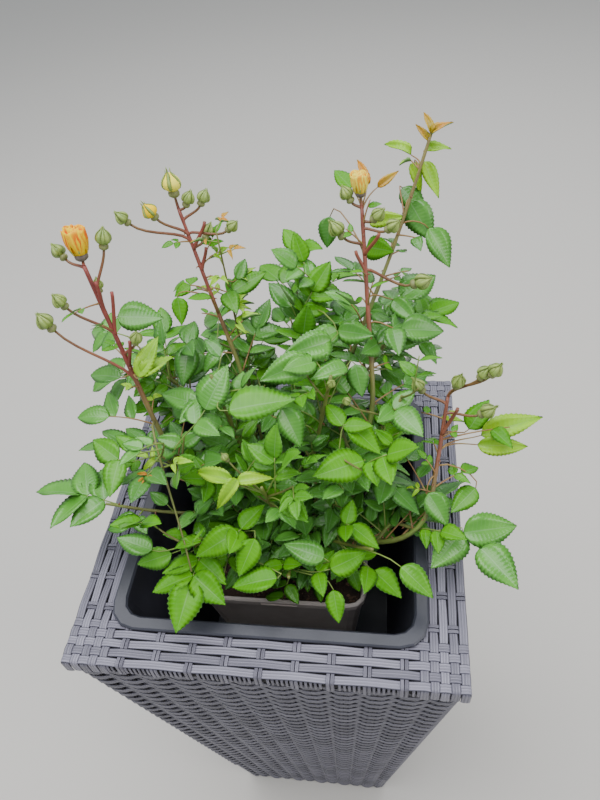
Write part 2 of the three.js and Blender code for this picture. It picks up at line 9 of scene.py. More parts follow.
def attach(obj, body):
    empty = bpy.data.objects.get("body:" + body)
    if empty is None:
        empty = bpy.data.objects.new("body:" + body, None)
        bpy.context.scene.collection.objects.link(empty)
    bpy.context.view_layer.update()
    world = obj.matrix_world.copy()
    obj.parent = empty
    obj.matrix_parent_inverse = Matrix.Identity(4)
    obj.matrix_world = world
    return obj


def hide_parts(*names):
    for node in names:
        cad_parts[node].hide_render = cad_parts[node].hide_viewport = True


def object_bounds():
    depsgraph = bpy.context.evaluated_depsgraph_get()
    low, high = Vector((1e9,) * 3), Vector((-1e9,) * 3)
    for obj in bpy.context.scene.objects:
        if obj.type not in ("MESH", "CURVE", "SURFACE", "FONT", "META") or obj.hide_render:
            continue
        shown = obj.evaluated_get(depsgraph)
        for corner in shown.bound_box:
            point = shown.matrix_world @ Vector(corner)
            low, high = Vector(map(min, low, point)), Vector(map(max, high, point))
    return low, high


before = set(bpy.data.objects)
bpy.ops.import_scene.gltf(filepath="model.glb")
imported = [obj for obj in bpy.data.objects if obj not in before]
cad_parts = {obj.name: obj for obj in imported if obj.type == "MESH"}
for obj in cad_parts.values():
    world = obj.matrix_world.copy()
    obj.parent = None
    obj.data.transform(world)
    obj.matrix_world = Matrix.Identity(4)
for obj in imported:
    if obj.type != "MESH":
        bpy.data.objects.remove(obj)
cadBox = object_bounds()
mm = 0.001
up = np.array([0.0, 0.0, 1.0])

# Camera, light and floor

camera = {
    "place": (0.109, -0.381, 1.259), "yaw": -0.199, "pitch": 0.822, "roll": -0.125,
    "focalPixels": 650.0, "imageHeight": 800.0, "sensor": 36.0,
}


# an object in the scene, from its data
def newObject(name, data):
    made = bpy.data.objects.new(name, data)
    bpy.context.scene.collection.objects.link(made)
    return made


# the camera's right, up and forward directions
def cameraAxes():
    yaw, pitch, roll = camera["yaw"], camera["pitch"], camera["roll"]
    ahead = np.array([math.sin(yaw) * math.cos(pitch), math.cos(yaw) * math.cos(pitch), -math.sin(pitch)])
    right = np.array([math.cos(yaw), -math.sin(yaw), 0.0])
    above = np.cross(right, ahead)
    return (math.cos(roll) * right + math.sin(roll) * above,
            math.cos(roll) * above - math.sin(roll) * right, ahead)


# where spots in millimetres fall in the picture, in pixels from its middle, and how far off they are
def inPicture(spots):
    right, above, ahead = cameraAxes()
    away = np.atleast_2d(spots) - np.array(camera["place"]) / mm
    far = away @ ahead
    return np.stack([away @ right, away @ above], 1) * camera["focalPixels"] / far[:, None], far


def makeCamera():
    right, above, ahead = cameraAxes()
    turn = Matrix((right, above, -ahead)).transposed()
    data = bpy.data.cameras.new("photoCamera")
    data.sensor_width = camera["sensor"]
    data.lens = camera["focalPixels"] / camera["imageHeight"] * camera["sensor"]
    eye = newObject("photoCamera", data)
    eye.matrix_world = Matrix.Translation(camera["place"]) @ turn.to_4x4()
    bpy.context.scene.camera = eye


daylight = {
    "sky": (0.86, 0.93, 1.0), "skyStrength": 0.58,
    # name: (place, aimed at, size, power, colour)
    "lamps": {
        "highSky": ((-0.5, 0.1, 3.3), (0, 0, 0.7), 2.8, 116, (0.98, 0.99, 1.0)),
        "openSide": ((2.6, -0.7, 2.3), (0, 0, 0.7), 1.8, 36, (1.0, 0.98, 0.95)),
        "behind": ((0.3, 2.6, 2.4), (0, 0, 0.8), 1.6, 18, (0.92, 0.96, 1.0)),
    },
    "floorTone": (0.62, 0.59, 0.55), "floorRoughness": 0.9, "floorHalf": 6.0,
}


def makeLight():
    world = bpy.data.worlds.new("overcast")
    world.use_nodes = True
    sky = world.node_tree.nodes["Background"]
    sky.inputs["Color"].default_value = rgba(daylight["sky"])
    sky.inputs["Strength"].default_value = daylight["skyStrength"]
    bpy.context.scene.world = world
    for name, (spot, aim, size, power, colour) in daylight["lamps"].items():
        data = bpy.data.lights.new(name, "AREA")
        data.size, data.energy, data.color = size, power, colour
        lamp = newObject(name, data)
        lamp.location = spot
        lamp.rotation_euler = (Vector(aim) - Vector(spot)).to_track_quat("-Z", "Y").to_euler()


def makeFloor():
    half = daylight["floorHalf"]
    corners = [(-half, -half, 0), (half, -half, 0), (half, half, 0), (-half, half, 0)]
    mesh = bpy.data.meshes.new("floor")
    mesh.from_pydata(corners, [], [(0, 1, 2, 3)])
    mesh.materials.append(newMaterial("floor", daylight["floorTone"], daylight["floorRoughness"]))
    floor = newObject("floor", mesh)


# Nodes and materials

# a group of nodes with its named inputs, each a kind and a value, and its outputs
def socketGroup(name, kind, inputs, outputs):
    tree = bpy.data.node_groups.new(name, kind)
    for label, (form, value) in inputs.items():
        made = tree.interface.new_socket(name=label, in_out="INPUT", socket_type=f"NodeSocket{form}")
        if value is not None:
            made.default_value = value
    for label, form in outputs.items():
        tree.interface.new_socket(name=label, in_out="OUTPUT", socket_type=f"NodeSocket{form}")
    return tree, tree.nodes.new("NodeGroupInput"), tree.nodes.new("NodeGroupOutput")


# adds a node, sets its properties, and fills its inputs with values or with other nodes' outputs
def place(tree, kind, settings=None, **inputs):
    node = tree.nodes.new(kind)
    for key, value in (settings or {}).items():
        setattr(node, key, value)
    for key, value in inputs.items():
        socket = node.inputs[int(key[1:])] if key[1:].isdigit() else node.inputs[key.replace("_", " ")]
        if isinstance(value, bpy.types.NodeSocket):
            tree.links.new(value, socket)
        else:
            socket.default_value = value
    return node


def maths(tree, operation, a, b=0.0, c=0.0):
    return place(tree, "ShaderNodeMath", {"operation": operation}, i0=a, i1=b, i2=c).outputs[0]


def mixColour(tree, share, a, b):
    a, b = (rgba(tone) if isinstance(tone, tuple) else tone for tone in (a, b))
    return place(tree, "ShaderNodeMix", {"data_type": "RGBA"}, i0=share, i6=a, i7=b).outputs[2]


def rgba(colour):
    return (*colour, 1)


def shaded(colour, share):
    return tuple(share * c for c in colour)


def newMaterial(name, colour, roughness, coat=0.0, specular=0.5):
    made = bpy.data.materials.new(name)
    made.use_nodes = True
    finish = {"Base Color": rgba(colour), "Roughness": roughness, "Coat Weight": coat, "Coat Roughness": 0.25,
              "Specular IOR Level": specular}
    for label, value in finish.items():
        shaderOf(made).inputs[label].default_value = value
    made.diffuse_color = rgba(colour)
    return made


def shaderOf(made):
    return made.node_tree.nodes["Principled BSDF"]


def paint(made, colour):
    made.node_tree.links.new(colour, shaderOf(made).inputs["Base Color"])


# soft patches of two tones, with a finer speckle: output 0 to 1
def makeMottle():
    tree, given, out = socketGroup(
        "mottle", "ShaderNodeTree",
        {"Vector": ("Vector", None), "Scale": ("Float", 60.0), "Speckle": ("Float", 900.0),
         "Contrast": ("Float", 1.0)},
        {"Mask": "Float", "Grain": "Float"},
    )
    spot, scale, speckle, contrast = given.outputs[:4]
    patches = place(tree, "ShaderNodeTexNoise", Vector=spot, Scale=scale, Detail=3.0)
    specks = place(tree, "ShaderNodeTexNoise", Vector=spot, Scale=speckle, Detail=2.0)
    centred = maths(tree, "SUBTRACT", patches.outputs[0], 0.5)
    spread = maths(tree, "MULTIPLY_ADD", centred, contrast, 0.5)
    held = place(tree, "ShaderNodeClamp", Value=spread)
    tree.links.new(held.outputs[0], out.inputs[0])
    tree.links.new(specks.outputs[0], out.inputs[1])
    return tree


weaveLook = {
    # the groove tone is painted shade, laid in the grooves between a strand's ribs
    "pale": (0.440, 0.420, 0.520), "dark": (0.142, 0.135, 0.175), "groove": (0.074, 0.071, 0.090),
    # wallShade and borderShade scale the same strand's tones; the wall's share, far below the border's, is
    # painted shade, as the wall stands in shade below the border
    "wallShade": 0.54, "borderShade": 0.92, "grooveShadeShare": 0.45, "roughness": 0.42, "fineness": 6.0,
    # the backing tone is near black: painted shade, for a sheet inside the weave that shows through the gaps
    # between the straps
    "ribs": 3.0, "ribDepth": 0.0005, "streakLength": 14.0, "shadeBacking": (0.018, 0.018, 0.021),
}


# streaks that run along a strand, from how far along it and across it a point is
def makeStreaks():
    tree, given, out = socketGroup(
        "strandStreaks", "ShaderNodeTree",
        {"Along": ("Float", 0.0), "Across": ("Float", 0.0), "Tone": ("Float", 0.5),
         "Fineness": ("Float", 6.0)},
        {"Mask": "Float", "Rib": "Float"},
    )
    along, across, tone, fineness = given.outputs[:4]
    spot = place(tree, "ShaderNodeCombineXYZ", X=maths(tree, "MULTIPLY", along, weaveLook["streakLength"]),
                 Y=maths(tree, "MULTIPLY", across, fineness), Z=maths(tree, "MULTIPLY", tone, 37.0))
    noise = place(tree, "ShaderNodeTexNoise", Vector=spot.outputs[0], Scale=1.0, Detail=4.0)
    shifted = maths(tree, "MULTIPLY_ADD", tone, 0.5, -0.25)
    held = place(tree, "ShaderNodeClamp", Value=maths(tree, "ADD", noise.outputs[0], shifted))
    wave = maths(tree, "COSINE", maths(tree, "MULTIPLY", across, 2 * math.pi * weaveLook["ribs"]))
    tree.links.new(held.outputs[0], out.inputs[0])
    tree.links.new(wave, out.inputs[1])
    return tree


mottle = makeMottle()
streaks = makeStreaks()


def objectSpot(tree):
    return tree.nodes.new("ShaderNodeTexCoord").outputs["Object"]


def attribute(tree, name):
    return place(tree, "ShaderNodeAttribute", {"attribute_name": name}).outputs["Fac"]


def addBump(made, height, strength, distance):
    bump = place(made.node_tree, "ShaderNodeBump", Height=height, Strength=strength, Distance=distance)
    made.node_tree.links.new(bump.outputs[0], shaderOf(made).inputs["Normal"])


def addMottle(tree, scale, speckle, contrast):
    return place(tree, "ShaderNodeGroup", {"node_tree": mottle}, Vector=objectSpot(tree), Scale=scale,
                 Speckle=speckle, Contrast=contrast).outputs


# a material whose colour drifts between two tones in soft patches
def mottledMaterial(name, pale, dark, roughness, scale, speckle, relief):
    made = newMaterial(name, pale, roughness)
    patches = addMottle(made.node_tree, scale, speckle, 2.2)
    paint(made, mixColour(made.node_tree, patches["Mask"], dark, pale))
    if relief:
        addBump(made, patches["Grain"], 0.6, relief)
    return made


# a strand's material, its tones scaled by a share; for the wall's strands the lower share is painted shade
def strandMaterial(name, shade):
    pale, dark, deep = (shaded(weaveLook[tone], shade) for tone in ("pale", "dark", "groove"))
    made = newMaterial(name, pale, weaveLook["roughness"])
    tree = made.node_tree
    strand = place(tree, "ShaderNodeGroup", {"node_tree": streaks}, Along=attribute(tree, "along"),
                   Across=attribute(tree, "across"), Tone=attribute(tree, "tone"),
                   Fineness=weaveLook["fineness"]).outputs
    # painted shade: where the rib wave dips, between the ribs, the tone goes toward the darker groove tone
    sunk = maths(tree, "MULTIPLY", strand["Rib"], -weaveLook["grooveShadeShare"])
    groove = maths(tree, "SMOOTH_MAX", sunk, 0.0, 0.1)
    paint(made, mixColour(tree, groove, mixColour(tree, strand["Mask"], dark, pale), deep))
    addBump(made, strand["Rib"], 0.8, weaveLook["ribDepth"])
    return made


# Making pieces: points are in millimetres here, and metres in the finished mesh

class Skin:
    def __init__(self):
        self.points, self.faces, self.looks, self.uv, self.values, self.count = [], [], [], [], [], 0

    def add(self, points, faces, look=0, uv=None, value=0.0):
        shift, count = self.count, len(points)
        self.points.append(np.asarray(points, float))
        self.count += count
        self.faces.extend([tuple(shift + i for i in face) for face in faces])
        self.looks.extend([look] * len(faces) if np.isscalar(look) else look)
        self.uv.append(np.zeros((count, 2)) if uv is None else np.asarray(uv, float))
        self.values.append(np.full(count, value, float))

    def piece(self, name, slot, looks, nodes=(), valueName=None):
        mesh = bpy.data.meshes.new(name)
        mesh.from_pydata((np.concatenate(self.points) * mm).tolist(), [], self.faces)
        for look in looks:
            mesh.materials.append(look)
        mesh.polygons.foreach_set("material_index", self.looks)
        mesh.polygons.foreach_set("use_smooth", [True] * len(self.faces))
        corners = np.empty(len(mesh.loops), dtype=np.int32)
        mesh.loops.foreach_get("vertex_index", corners)
        layer = mesh.uv_layers.new(name="blade")
        layer.data.foreach_set("uv", np.concatenate(self.uv)[corners].ravel())
        if valueName:
            held = mesh.attributes.new(valueName, "FLOAT", "POINT")
            held.data.foreach_set("value", np.concatenate(self.values))
        mesh.update()
        return finished(name, mesh, nodes)


def finished(name, mesh, nodes=()):
    piece = newObject(name, mesh)
    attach(piece, "root")
    if nodes:
        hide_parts(*nodes)
    print(f"{name}: {sum(len(face.vertices) - 2 for face in mesh.polygons)} triangles")
    return piece


# the faces of a closed skin: a point, rings of as many points each, and a last point
def ringFaces(rings, sides):
    last, faces = 1 + rings * sides, []
    for k in range(sides):
        n = (k + 1) % sides
        faces.append((0, 1 + n, 1 + k))
        faces.append((last, last - sides + k, last - sides + n))
        for a in range(1, last - sides, sides):
            faces.append((a + k, a + n, a + n + sides, a + k + sides))
    return faces


def flipped(faces):
    return [face[::-1] for face in faces]


# Sizes that the looks share with the solids, in millimetres

gap = 0.3
planter = {"top": 370, "foot": 236, "height": 680}
liner = {"mouth": 274, "deep": 270, "flangeThick": 3, "thick": 2.5}
pot = {"high": 207, "forward": 3, "compostBelow": 13, "compostDip": 4}
crown = {"radius": 13, "high": 34, "sunk": 14}
linerTop = planter["height"] + gap + liner["flangeThick"]
potBottom = linerTop - liner["deep"] + liner["thick"] + gap
potRim = potBottom + pot["high"]
compostTop = potRim - pot["compostBelow"]

# The rule of growth. Of a leaf's measures, a pair is its least and what luck may add
growth = {
    "goldenAngle": 137.5, "twigRadius": 1.1, "leafClearance": 1, "limbClearance": 1.6, "crowding": 0.24,
    "mouthClearance": 8, "rimClearance": 5, "caneTaper": 0.72, "stemTaper": 0.75, "handle": 0.38,
    "lowest": {5: 0.28, 3: 0.08},
    "tries": 14, "turnStep": 47, "spread": 50, "spreadFrom": 0.5, "lift": (15, 35), "liftAlong": 15,
    "liftStep": 2, "shrink": 0.035, "fade": 0.15, "leafLong": (0.75, 0.4), "leafletLong": (0.85, 0.3),
    "leafletMost": 0.68, "droop": (0.25, 0.5), "roll": 0.9,
}

# Each shoot is a cane and the mass of leaves at its end. A row says where it starts and how far along
# that one, its bearing and lift there, its tip and its end, how thick it is, its nodes, and how long its
# leaves and leaflets are. A place is out, bearing, high.
shootRows = {
    "left": ("crown", 0, 205, 45, (113, 177, 800), (165, 159, 942), 3.4, 4, 42, 32),
    "back_left": ("crown", 0, 140, 52, (104, 118, 815), (181, 121, 938), 3.0, 4, 40, 28),
    "back_right": ("crown", 0, 10, 48, (108, 30, 818), (168, 61, 942), 3.2, 6, 40, 28),
    "young": ("crown", 0, 58, 58, (150, 50, 872), (242, 54, 985), 2.6, 7, 32, 25),
    "right": ("crown", 0, 333, 36, (154, 349, 742), (168, 13, 808), 3.0, 3, 40, 28),
    "centre_right": ("crown", 0, 20, 76, (26, 10, 705), (62, 20, 850), 3.0, 8, 63, 43),
    "centre_left": ("crown", 0, 170, 70, (28, 165, 705), (58, 155, 845), 2.8, 8, 63, 43),
    "centre_low": ("right", 0.1, 335, 75, (34, 340, 690), (74, 338, 798), 2.6, 7, 61, 43),
    "front_left": ("crown", 0, 238, 42, (46, 234, 672), (118, 232, 742), 2.9, 8, 59, 41),
    "centre_front": ("front_left", 0.4, 290, 75, (26, 270, 690), (66, 272, 800), 2.6, 8, 61, 43),
    "front": ("crown", 0, 290, 40, (48, 284, 660), (108, 282, 716), 2.6, 6, 55, 39),
    "front_right": ("right", 0.18, 312, 40, (62, 316, 685), (132, 318, 744), 2.6, 8, 59, 41),
    "right_low": ("right", 0.5, 332, 15, (126, 343, 706), (180, 340, 726), 2.4, 5, 53, 39),
    "right_back": ("back_right", 0.25, 350, 35, (76, 353, 708), (126, 15, 814), 2.6, 8, 61, 41),
    "back_mid": ("back_right", 0.5, 70, 50, (88, 44, 768), (150, 41, 838), 2.4, 6, 59, 41),
    "back": ("young", 0.2, 85, 60, (56, 80, 730), (138, 80, 845), 2.6, 9, 63, 43),
    "back_low": ("back_left", 0.2, 108, 30, (56, 116, 700), (126, 112, 792), 2.4, 8, 61, 41),
    "left_back": ("back_left", 0.35, 160, 30, (76, 150, 730), (142, 148, 806), 2.4, 7, 59, 41),
    "left_mid": ("left", 0.25, 195, 60, (60, 198, 712), (106, 194, 788), 2.4, 6, 57, 39),
    "left_low": ("left", 0.4, 200, 20, (100, 206, 718), (168, 200, 750), 2.4, 7, 53, 39),
}
# What some have as well: how far up they are leafy, their leaflets to a leaf, and how much smaller the
# leaves get towards the tip. A bud is along, bearing, out, rise, size, and a reaching leaf is along, out,
# bearing, high.
shootExtras = {
    "left": {
        "leafy": 0.55, "leaflets": 3, "buds": [
            (1, 110, 9, 16, 25), (0.97, 150, 30, 6, 10), (0.8, 60, 24, 42, 11), (0.72, 110, 16, 12, 8),
            (0.55, 190, 34, 42, 10), (0.25, 172, 68, 62, 12), (0.42, 0, 16, 20, 9),
        ],
    },
    "back_left": {
        "leafy": 0.6, "leaflets": 3, "buds": [
            (1, 120, 5, 18, 14), (0.98, 20, 9, 8, 10), (0.9, 30, 22, 16, 10), (0.75, 190, 56, 32, 10),
            (0.8, 200, 28, 30, 11), (0.8, 0, 42, 8, 9), (0.7, 60, 20, 6, 10),
        ],
    },
    "back_right": {
        "leafy": 0.9, "leaflets": 3, "buds": [
            (1, 110, 5, 18, 19), (0.98, 150, 14, 8, 10), (0.75, 160, 24, 10, 12), (0.9, 350, 12, 6, 10),
            (0.85, 340, 26, 8, 10), (0.6, 350, 48, -6, 12),
        ],
    },
    "young": {"leaflets": 3, "fade": 0.6, "reaches": [(0.35, 208, 41, 908)]},
    "right": {
        "leafy": 0.6, "leaflets": 3, "reaches": [(0.55, 254, 6, 792)], "buds": [
            (0.9, 160, 26, 14, 10), (1, 340, 7, 20, 10), (1, 350, 27, 34, 10), (1, 345, 36, 42, 10),
            (0.8, 350, 34, 12, 11),
        ],
    },
    "front_left": {"reaches": [(0.7, 172, 246, 722)]},
    "front": {"reaches": [(0.6, 150, 295, 696)]},
    "front_right": {"reaches": [(0.6, 182, 329, 700)]},
    "right_low": {"reaches": [(0.5, 250, 339, 697), (0.2, 232, 348, 712)]},
    "left_low": {"reaches": [(0.75, 231, 191, 762), (0.5, 172, 214, 735)]},
}
shootParts = ("start", "at", "leave", "lift", "tip", "end", "thick", "nodes", "leaf", "leaflet")
usual = {"leafy": 1, "leaflets": 5}  # what a shoot has if its extras don't say
shoots = {name: {**dict(zip(shootParts, row)), **usual, **shootExtras.get(name, {})}
          for name, row in shootRows.items()}
order = list(shoots)
flowering = [name for name in order if "buds" in shoots[name]]


# Vectors and curves

def unit(v):
    return v / math.sqrt(v @ v)


def cross(a, b):
    return np.array([a[1] * b[2] - a[2] * b[1], a[2] * b[0] - a[0] * b[2], a[0] * b[1] - a[1] * b[0]])


def point(out, bearing, high):
    turn = math.radians(bearing)
    return np.array([out * math.cos(turn), out * math.sin(turn), float(high)])


def direction(bearing, lift):
    level = math.cos(math.radians(lift))
    turn = math.radians(bearing)
    return np.array([level * math.cos(turn), level * math.sin(turn), math.sin(math.radians(lift))])


# small seeded generator of numbers from 0 to 1, the same as the solids' own
def seeded(seed):
    state = seed & 0xFFFFFFFF
    whole = 0xFFFFFFFF

    def draw():
        nonlocal state
        state = (state + 0x6D2B79F5) & whole
        mixed = ((state ^ (state >> 15)) * (state | 1)) & whole
        mixed ^= (mixed + (((mixed ^ (mixed >> 7)) * (mixed | 61)) & whole)) & whole
        return ((mixed ^ (mixed >> 14)) & whole) / 4294967296

    return draw


# a smooth curve with two ends and two handles
class Sweep:
    def __init__(self, a, b, c, d):
        self.a, self.b, self.c, self.d = a, b, c, d

    def at(self, t):
        s = 1 - t
        return self.a * s ** 3 + self.b * 3 * s * s * t + self.c * 3 * s * t * t + self.d * t ** 3

    def heading(self, t):
        s = 1 - t
        return unit((self.b - self.a) * s * s + (self.c - self.b) * 2 * s * t + (self.d - self.c) * t * t)

    def samples(self, count):
        return [self.at(i / count) for i in range(count + 1)]


def makeLimbs():
    limbs = {}
    for name, shoot in shoots.items():
        if shoot["start"] == "crown":
            rootOut = 0 if shoot["lift"] > 70 else crown["radius"] * 0.5
            start = point(rootOut, shoot["leave"], compostTop + crown["high"] * 0.55)
        else:
            start = limbs[shoot["start"]]["cane"].at(shoot["at"])
        tip, end = point(*shoot["tip"]), point(*shoot["end"])
        lead = unit(unit(end - tip) - up * 0.15)
        reach = math.dist(tip, start) * growth["handle"]
        cane = Sweep(start, start + direction(shoot["leave"], shoot["lift"]) * reach, tip - lead * reach, tip)
        first = tip + lead * gap
        length = math.dist(end, first)
        closing = unit(unit(end - first) + up * 0.1)
        stem = Sweep(first, first + lead * length * 0.35, end - closing * length * 0.3, end)
        limbs[name] = {"cane": cane, "stem": stem}
    return limbs


limbs = makeLimbs()


# the straight runs of a set of paths, for measuring how near a spot is to each path
def runsOf(paths):
    starts = np.concatenate([np.array(path[:-1]) for path in paths])
    spans = np.concatenate([np.array(path[1:]) - np.array(path[:-1]) for path in paths])
    firsts = np.cumsum([0] + [len(path) - 1 for path in paths[:-1]])
    return starts, spans, (spans ** 2).sum(1), firsts


def distances(spots, runs):
    starts, spans, squares, firsts = runs
    away = spots[:, None, :] - starts[None]
    share = np.clip((away * spans).sum(2) / squares, 0, 1)
    away = away - share[..., None] * spans
    return np.minimum.reduceat(np.sqrt((away ** 2).sum(2)), firsts, axis=1)


stemRuns = runsOf([limbs[name]["stem"].samples(5) for name in order])
caneRuns = runsOf([limbs[name]["cane"].samples(8) for name in order])
boxLow, boxHigh = (np.array(corner) / mm for corner in cadBox)


# whether spots stand clear above the planter's top and, inside its mouth, above the pot's rim
def isOverFloor(spots):
    wide = np.maximum(abs(spots[:, 0]), abs(spots[:, 1] - pot["forward"]))
    isOutside = wide > liner["mouth"] / 2 - growth["mouthClearance"]
    floor = np.where(isOutside, linerTop, potRim) + growth["rimClearance"]
    return (spots[:, 2] >= floor).all()


# whether spots lie in the space of one mass, clear of limbs, planter and pot
def isFree(spots, own, clearance=growth["leafClearance"]):
    spots = np.atleast_2d(spots)
    if not isOverFloor(spots):
        return False
    away = distances(spots, stemRuns)
    mine = order.index(own)
    home = away[:, mine] + clearance
    away[:, mine] = np.inf
    if (away.min(1) < home + clearance).any():
        return False
    return not (distances(spots, caneRuns) < shoots[own]["thick"] + growth["limbClearance"]).any()


# Leaves, by the solids' rule

class Crowd:
    def __init__(self):
        self.spots, self.radii, self.count = np.zeros((60000, 3)), np.zeros(60000), 0

    def add(self, part):
        for spot in part["spots"]:
            self.spots[self.count], self.radii[self.count] = spot, part["radius"]
            self.count += 1

    def addLeaf(self, leaf):
        for part in (leaf, *leaf["blades"]):
            self.add(part)

    def isClear(self, part):
        spots = np.array(part["spots"])
        near = part["radius"] + self.radii[:self.count]
        away = spots[:, None, :] - self.spots[None, :self.count]
        return bool(((away ** 2).sum(2) > near ** 2).all())


crowd = Crowd()


def bladeFrame(heading, roll):
    side = cross(heading, up)
    if math.sqrt(side @ side) < 0.2:
        side = np.array([1.0, 0.0, 0.0])
    side = unit(side)
    face = unit(cross(side, heading))
    turned = side * math.cos(roll) + face * math.sin(roll)
    return turned, unit(cross(turned, heading))


# a leaflet before it has its mesh: shares of its length
bladePlan = {"belly": 0.42, "half": 0.32, "tipDrop": 0.1, "edgeRise": 0.06, "spots": (0.2, 0.5, 0.8)}


def blade(root, heading, roll, length, crowding):
    side, face = bladeFrame(heading, roll)
    belly = root + heading * length * bladePlan["belly"]
    half, rise = length * bladePlan["half"], face * length * bladePlan["edgeRise"]
    return {
        "root": root, "heading": heading, "side": side, "face": face, "length": length, "belly": belly,
        "spots": [root + heading * length * share for share in bladePlan["spots"]],
        "radius": length * crowding, "tip": root + heading * length - face * length * bladePlan["tipDrop"],
        "left": belly - side * half + rise, "right": belly + side * half + rise,
    }


def leafOn(stalk, blades):
    return {"stalk": stalk, "blades": blades, "radius": growth["twigRadius"],
            "spots": [stalk.at(share) for share in (0.25, 0.5, 0.75, 1)]}


# how far along the stalk each pair of leaflets stands, and its size, by how many leaflets there are
pairPlaces = {3: [(0.74, 0.8)], 5: [(0.47, 0.78), (0.87, 0.88)]}


# a rose leaf: a stalk that bows over, with a leaflet at its end and pairs along it
def compoundLeaf(root, first, length, droop, size, leaflets, roll, crowding=growth["crowding"]):
    last = unit(first - up * droop)
    end = root + first * length * 0.5 + last * length * 0.5
    stalk = Sweep(root, root + first * length * 0.33, end - last * length * 0.33, end)
    blades = [blade(stalk.at(1), last, roll, size, crowding)]
    for share, scale in pairPlaces[leaflets]:
        heading = stalk.heading(share)
        side = bladeFrame(heading, roll)[0]
        for sign in (-1, 1):
            outward = unit(heading * 0.5 + side * 0.87 * sign)
            blades.append(blade(stalk.at(share), outward, roll, size * scale, crowding))
    return leafOn(stalk, blades)


# a heading that leans from an axis by a lift, turned round it
def leansFrom(axis, turn, lift):
    across = unit(cross(axis, np.array([0.3, 0.1, 1.0])))
    over = cross(across, axis)
    level = math.cos(lift)
    return unit(across * math.cos(turn) * level + over * math.sin(turn) * level + axis * math.sin(lift))


# a number from its least and what luck may add
def drawn(pair, random):
    return pair[0] + pair[1] * random()


# one try at a leaf of two sizes, its own and its leaflets', with what luck adds by a rule
def luckyLeaf(rule, random, root, axis, node, attempt, sizes, leaflets, along=0.0, fade=0.0):
    shrink = (1 - rule["shrink"] * attempt) * (1 - fade * along)
    turn = (node * growth["goldenAngle"] + attempt * rule["turnStep"]
            + rule["spread"] * (random() - rule["spreadFrom"]))
    lift = drawn(rule["lift"], random) + rule.get("liftAlong", 0) * along + rule.get("liftStep", 0) * attempt
    length = sizes[0] * drawn(rule["leafLong"], random) * shrink
    size = min(sizes[1] * drawn(rule["leafletLong"], random) * shrink, length * rule["leafletMost"])
    if rule.get("rollFirst"):
        roll = (random() - 0.5) * rule["roll"]
        droop = drawn(rule["droop"], random)
    else:
        droop = drawn(rule["droop"], random)
        roll = (random() - 0.5) * rule["roll"]
    first = leansFrom(axis, math.radians(turn), math.radians(lift))
    return compoundLeaf(root, first, length, droop, size, leaflets, roll, rule["crowding"])


# spots round a blade, and midway from its sides to the ends named
def rimOf(part, ends=()):
    spots = [part[spot] for spot in ("tip", "left", "right", "belly")]
    return np.array(spots + [(part[side] + part[end]) * 0.5 for side in ("left", "right") for end in ends])


def bladeFits(part, own):
    return isFree(rimOf(part, ("tip", "root")), own) and crowd.isClear(part)


def stalkFits(leaf, own):
    return isFree(leaf["spots"], own) and crowd.isClear(leaf)


def keepFitting(leaf, own):
    leaf["blades"] = [each for each in leaf["blades"] if bladeFits(each, own)]
    crowd.addLeaf(leaf)


# the leaf that reaches out to a place, with its end leaflet's tip there
def reachingLeaf(stem, shoot, along, tip):
    root = stem.at(along)
    run = point(*tip) - root
    far = math.sqrt(run @ run)
    size = min(shoot["leaflet"] * 1.15, far * 0.5)
    return compoundLeaf(root, unit(unit(run) + up * 0.15), far - size, 0.3, size, shoot["leaflets"], 0)


def growLeaves(name):
    shoot, stem = shoots[name], limbs[name]["stem"]
    random = seeded(order.index(name) * 101 + 7)
    sizes, count = (shoot["leaf"], shoot["leaflet"]), shoot["leaflets"]
    leaves, fade = [], shoot.get("fade", growth["fade"])
    for along, *tip in shoot.get("reaches", []):
        leaf = reachingLeaf(stem, shoot, along, tip)
        if bladeFits(leaf["blades"][0], name):
            keepFitting(leaf, name)
            leaves.append((along, leaf))
    lowest = growth["lowest"][count]
    for node in range(shoot["nodes"]):
        along = lowest + (shoot["leafy"] - 0.02 - lowest) * (node / (shoot["nodes"] - 1))
        root, axis = stem.at(along), stem.heading(along)
        for attempt in range(growth["tries"]):
            leaf = luckyLeaf(growth, random, root, axis, node, attempt, sizes, count, along, fade)
            if not stalkFits(leaf, name) or not bladeFits(leaf["blades"][0], name):
                continue
            if sum(bladeFits(each, name) for each in leaf["blades"]) >= count - 2:
                keepFitting(leaf, name)
                leaves.append((along, leaf))
                break
    return leaves


grown = {name: growLeaves(name) for name in order}
print("leaves of the solids:", sum(map(len, grown.values())),
      "leaflets:", sum(len(leaf["blades"]) for leaves in grown.values() for _, leaf in leaves))

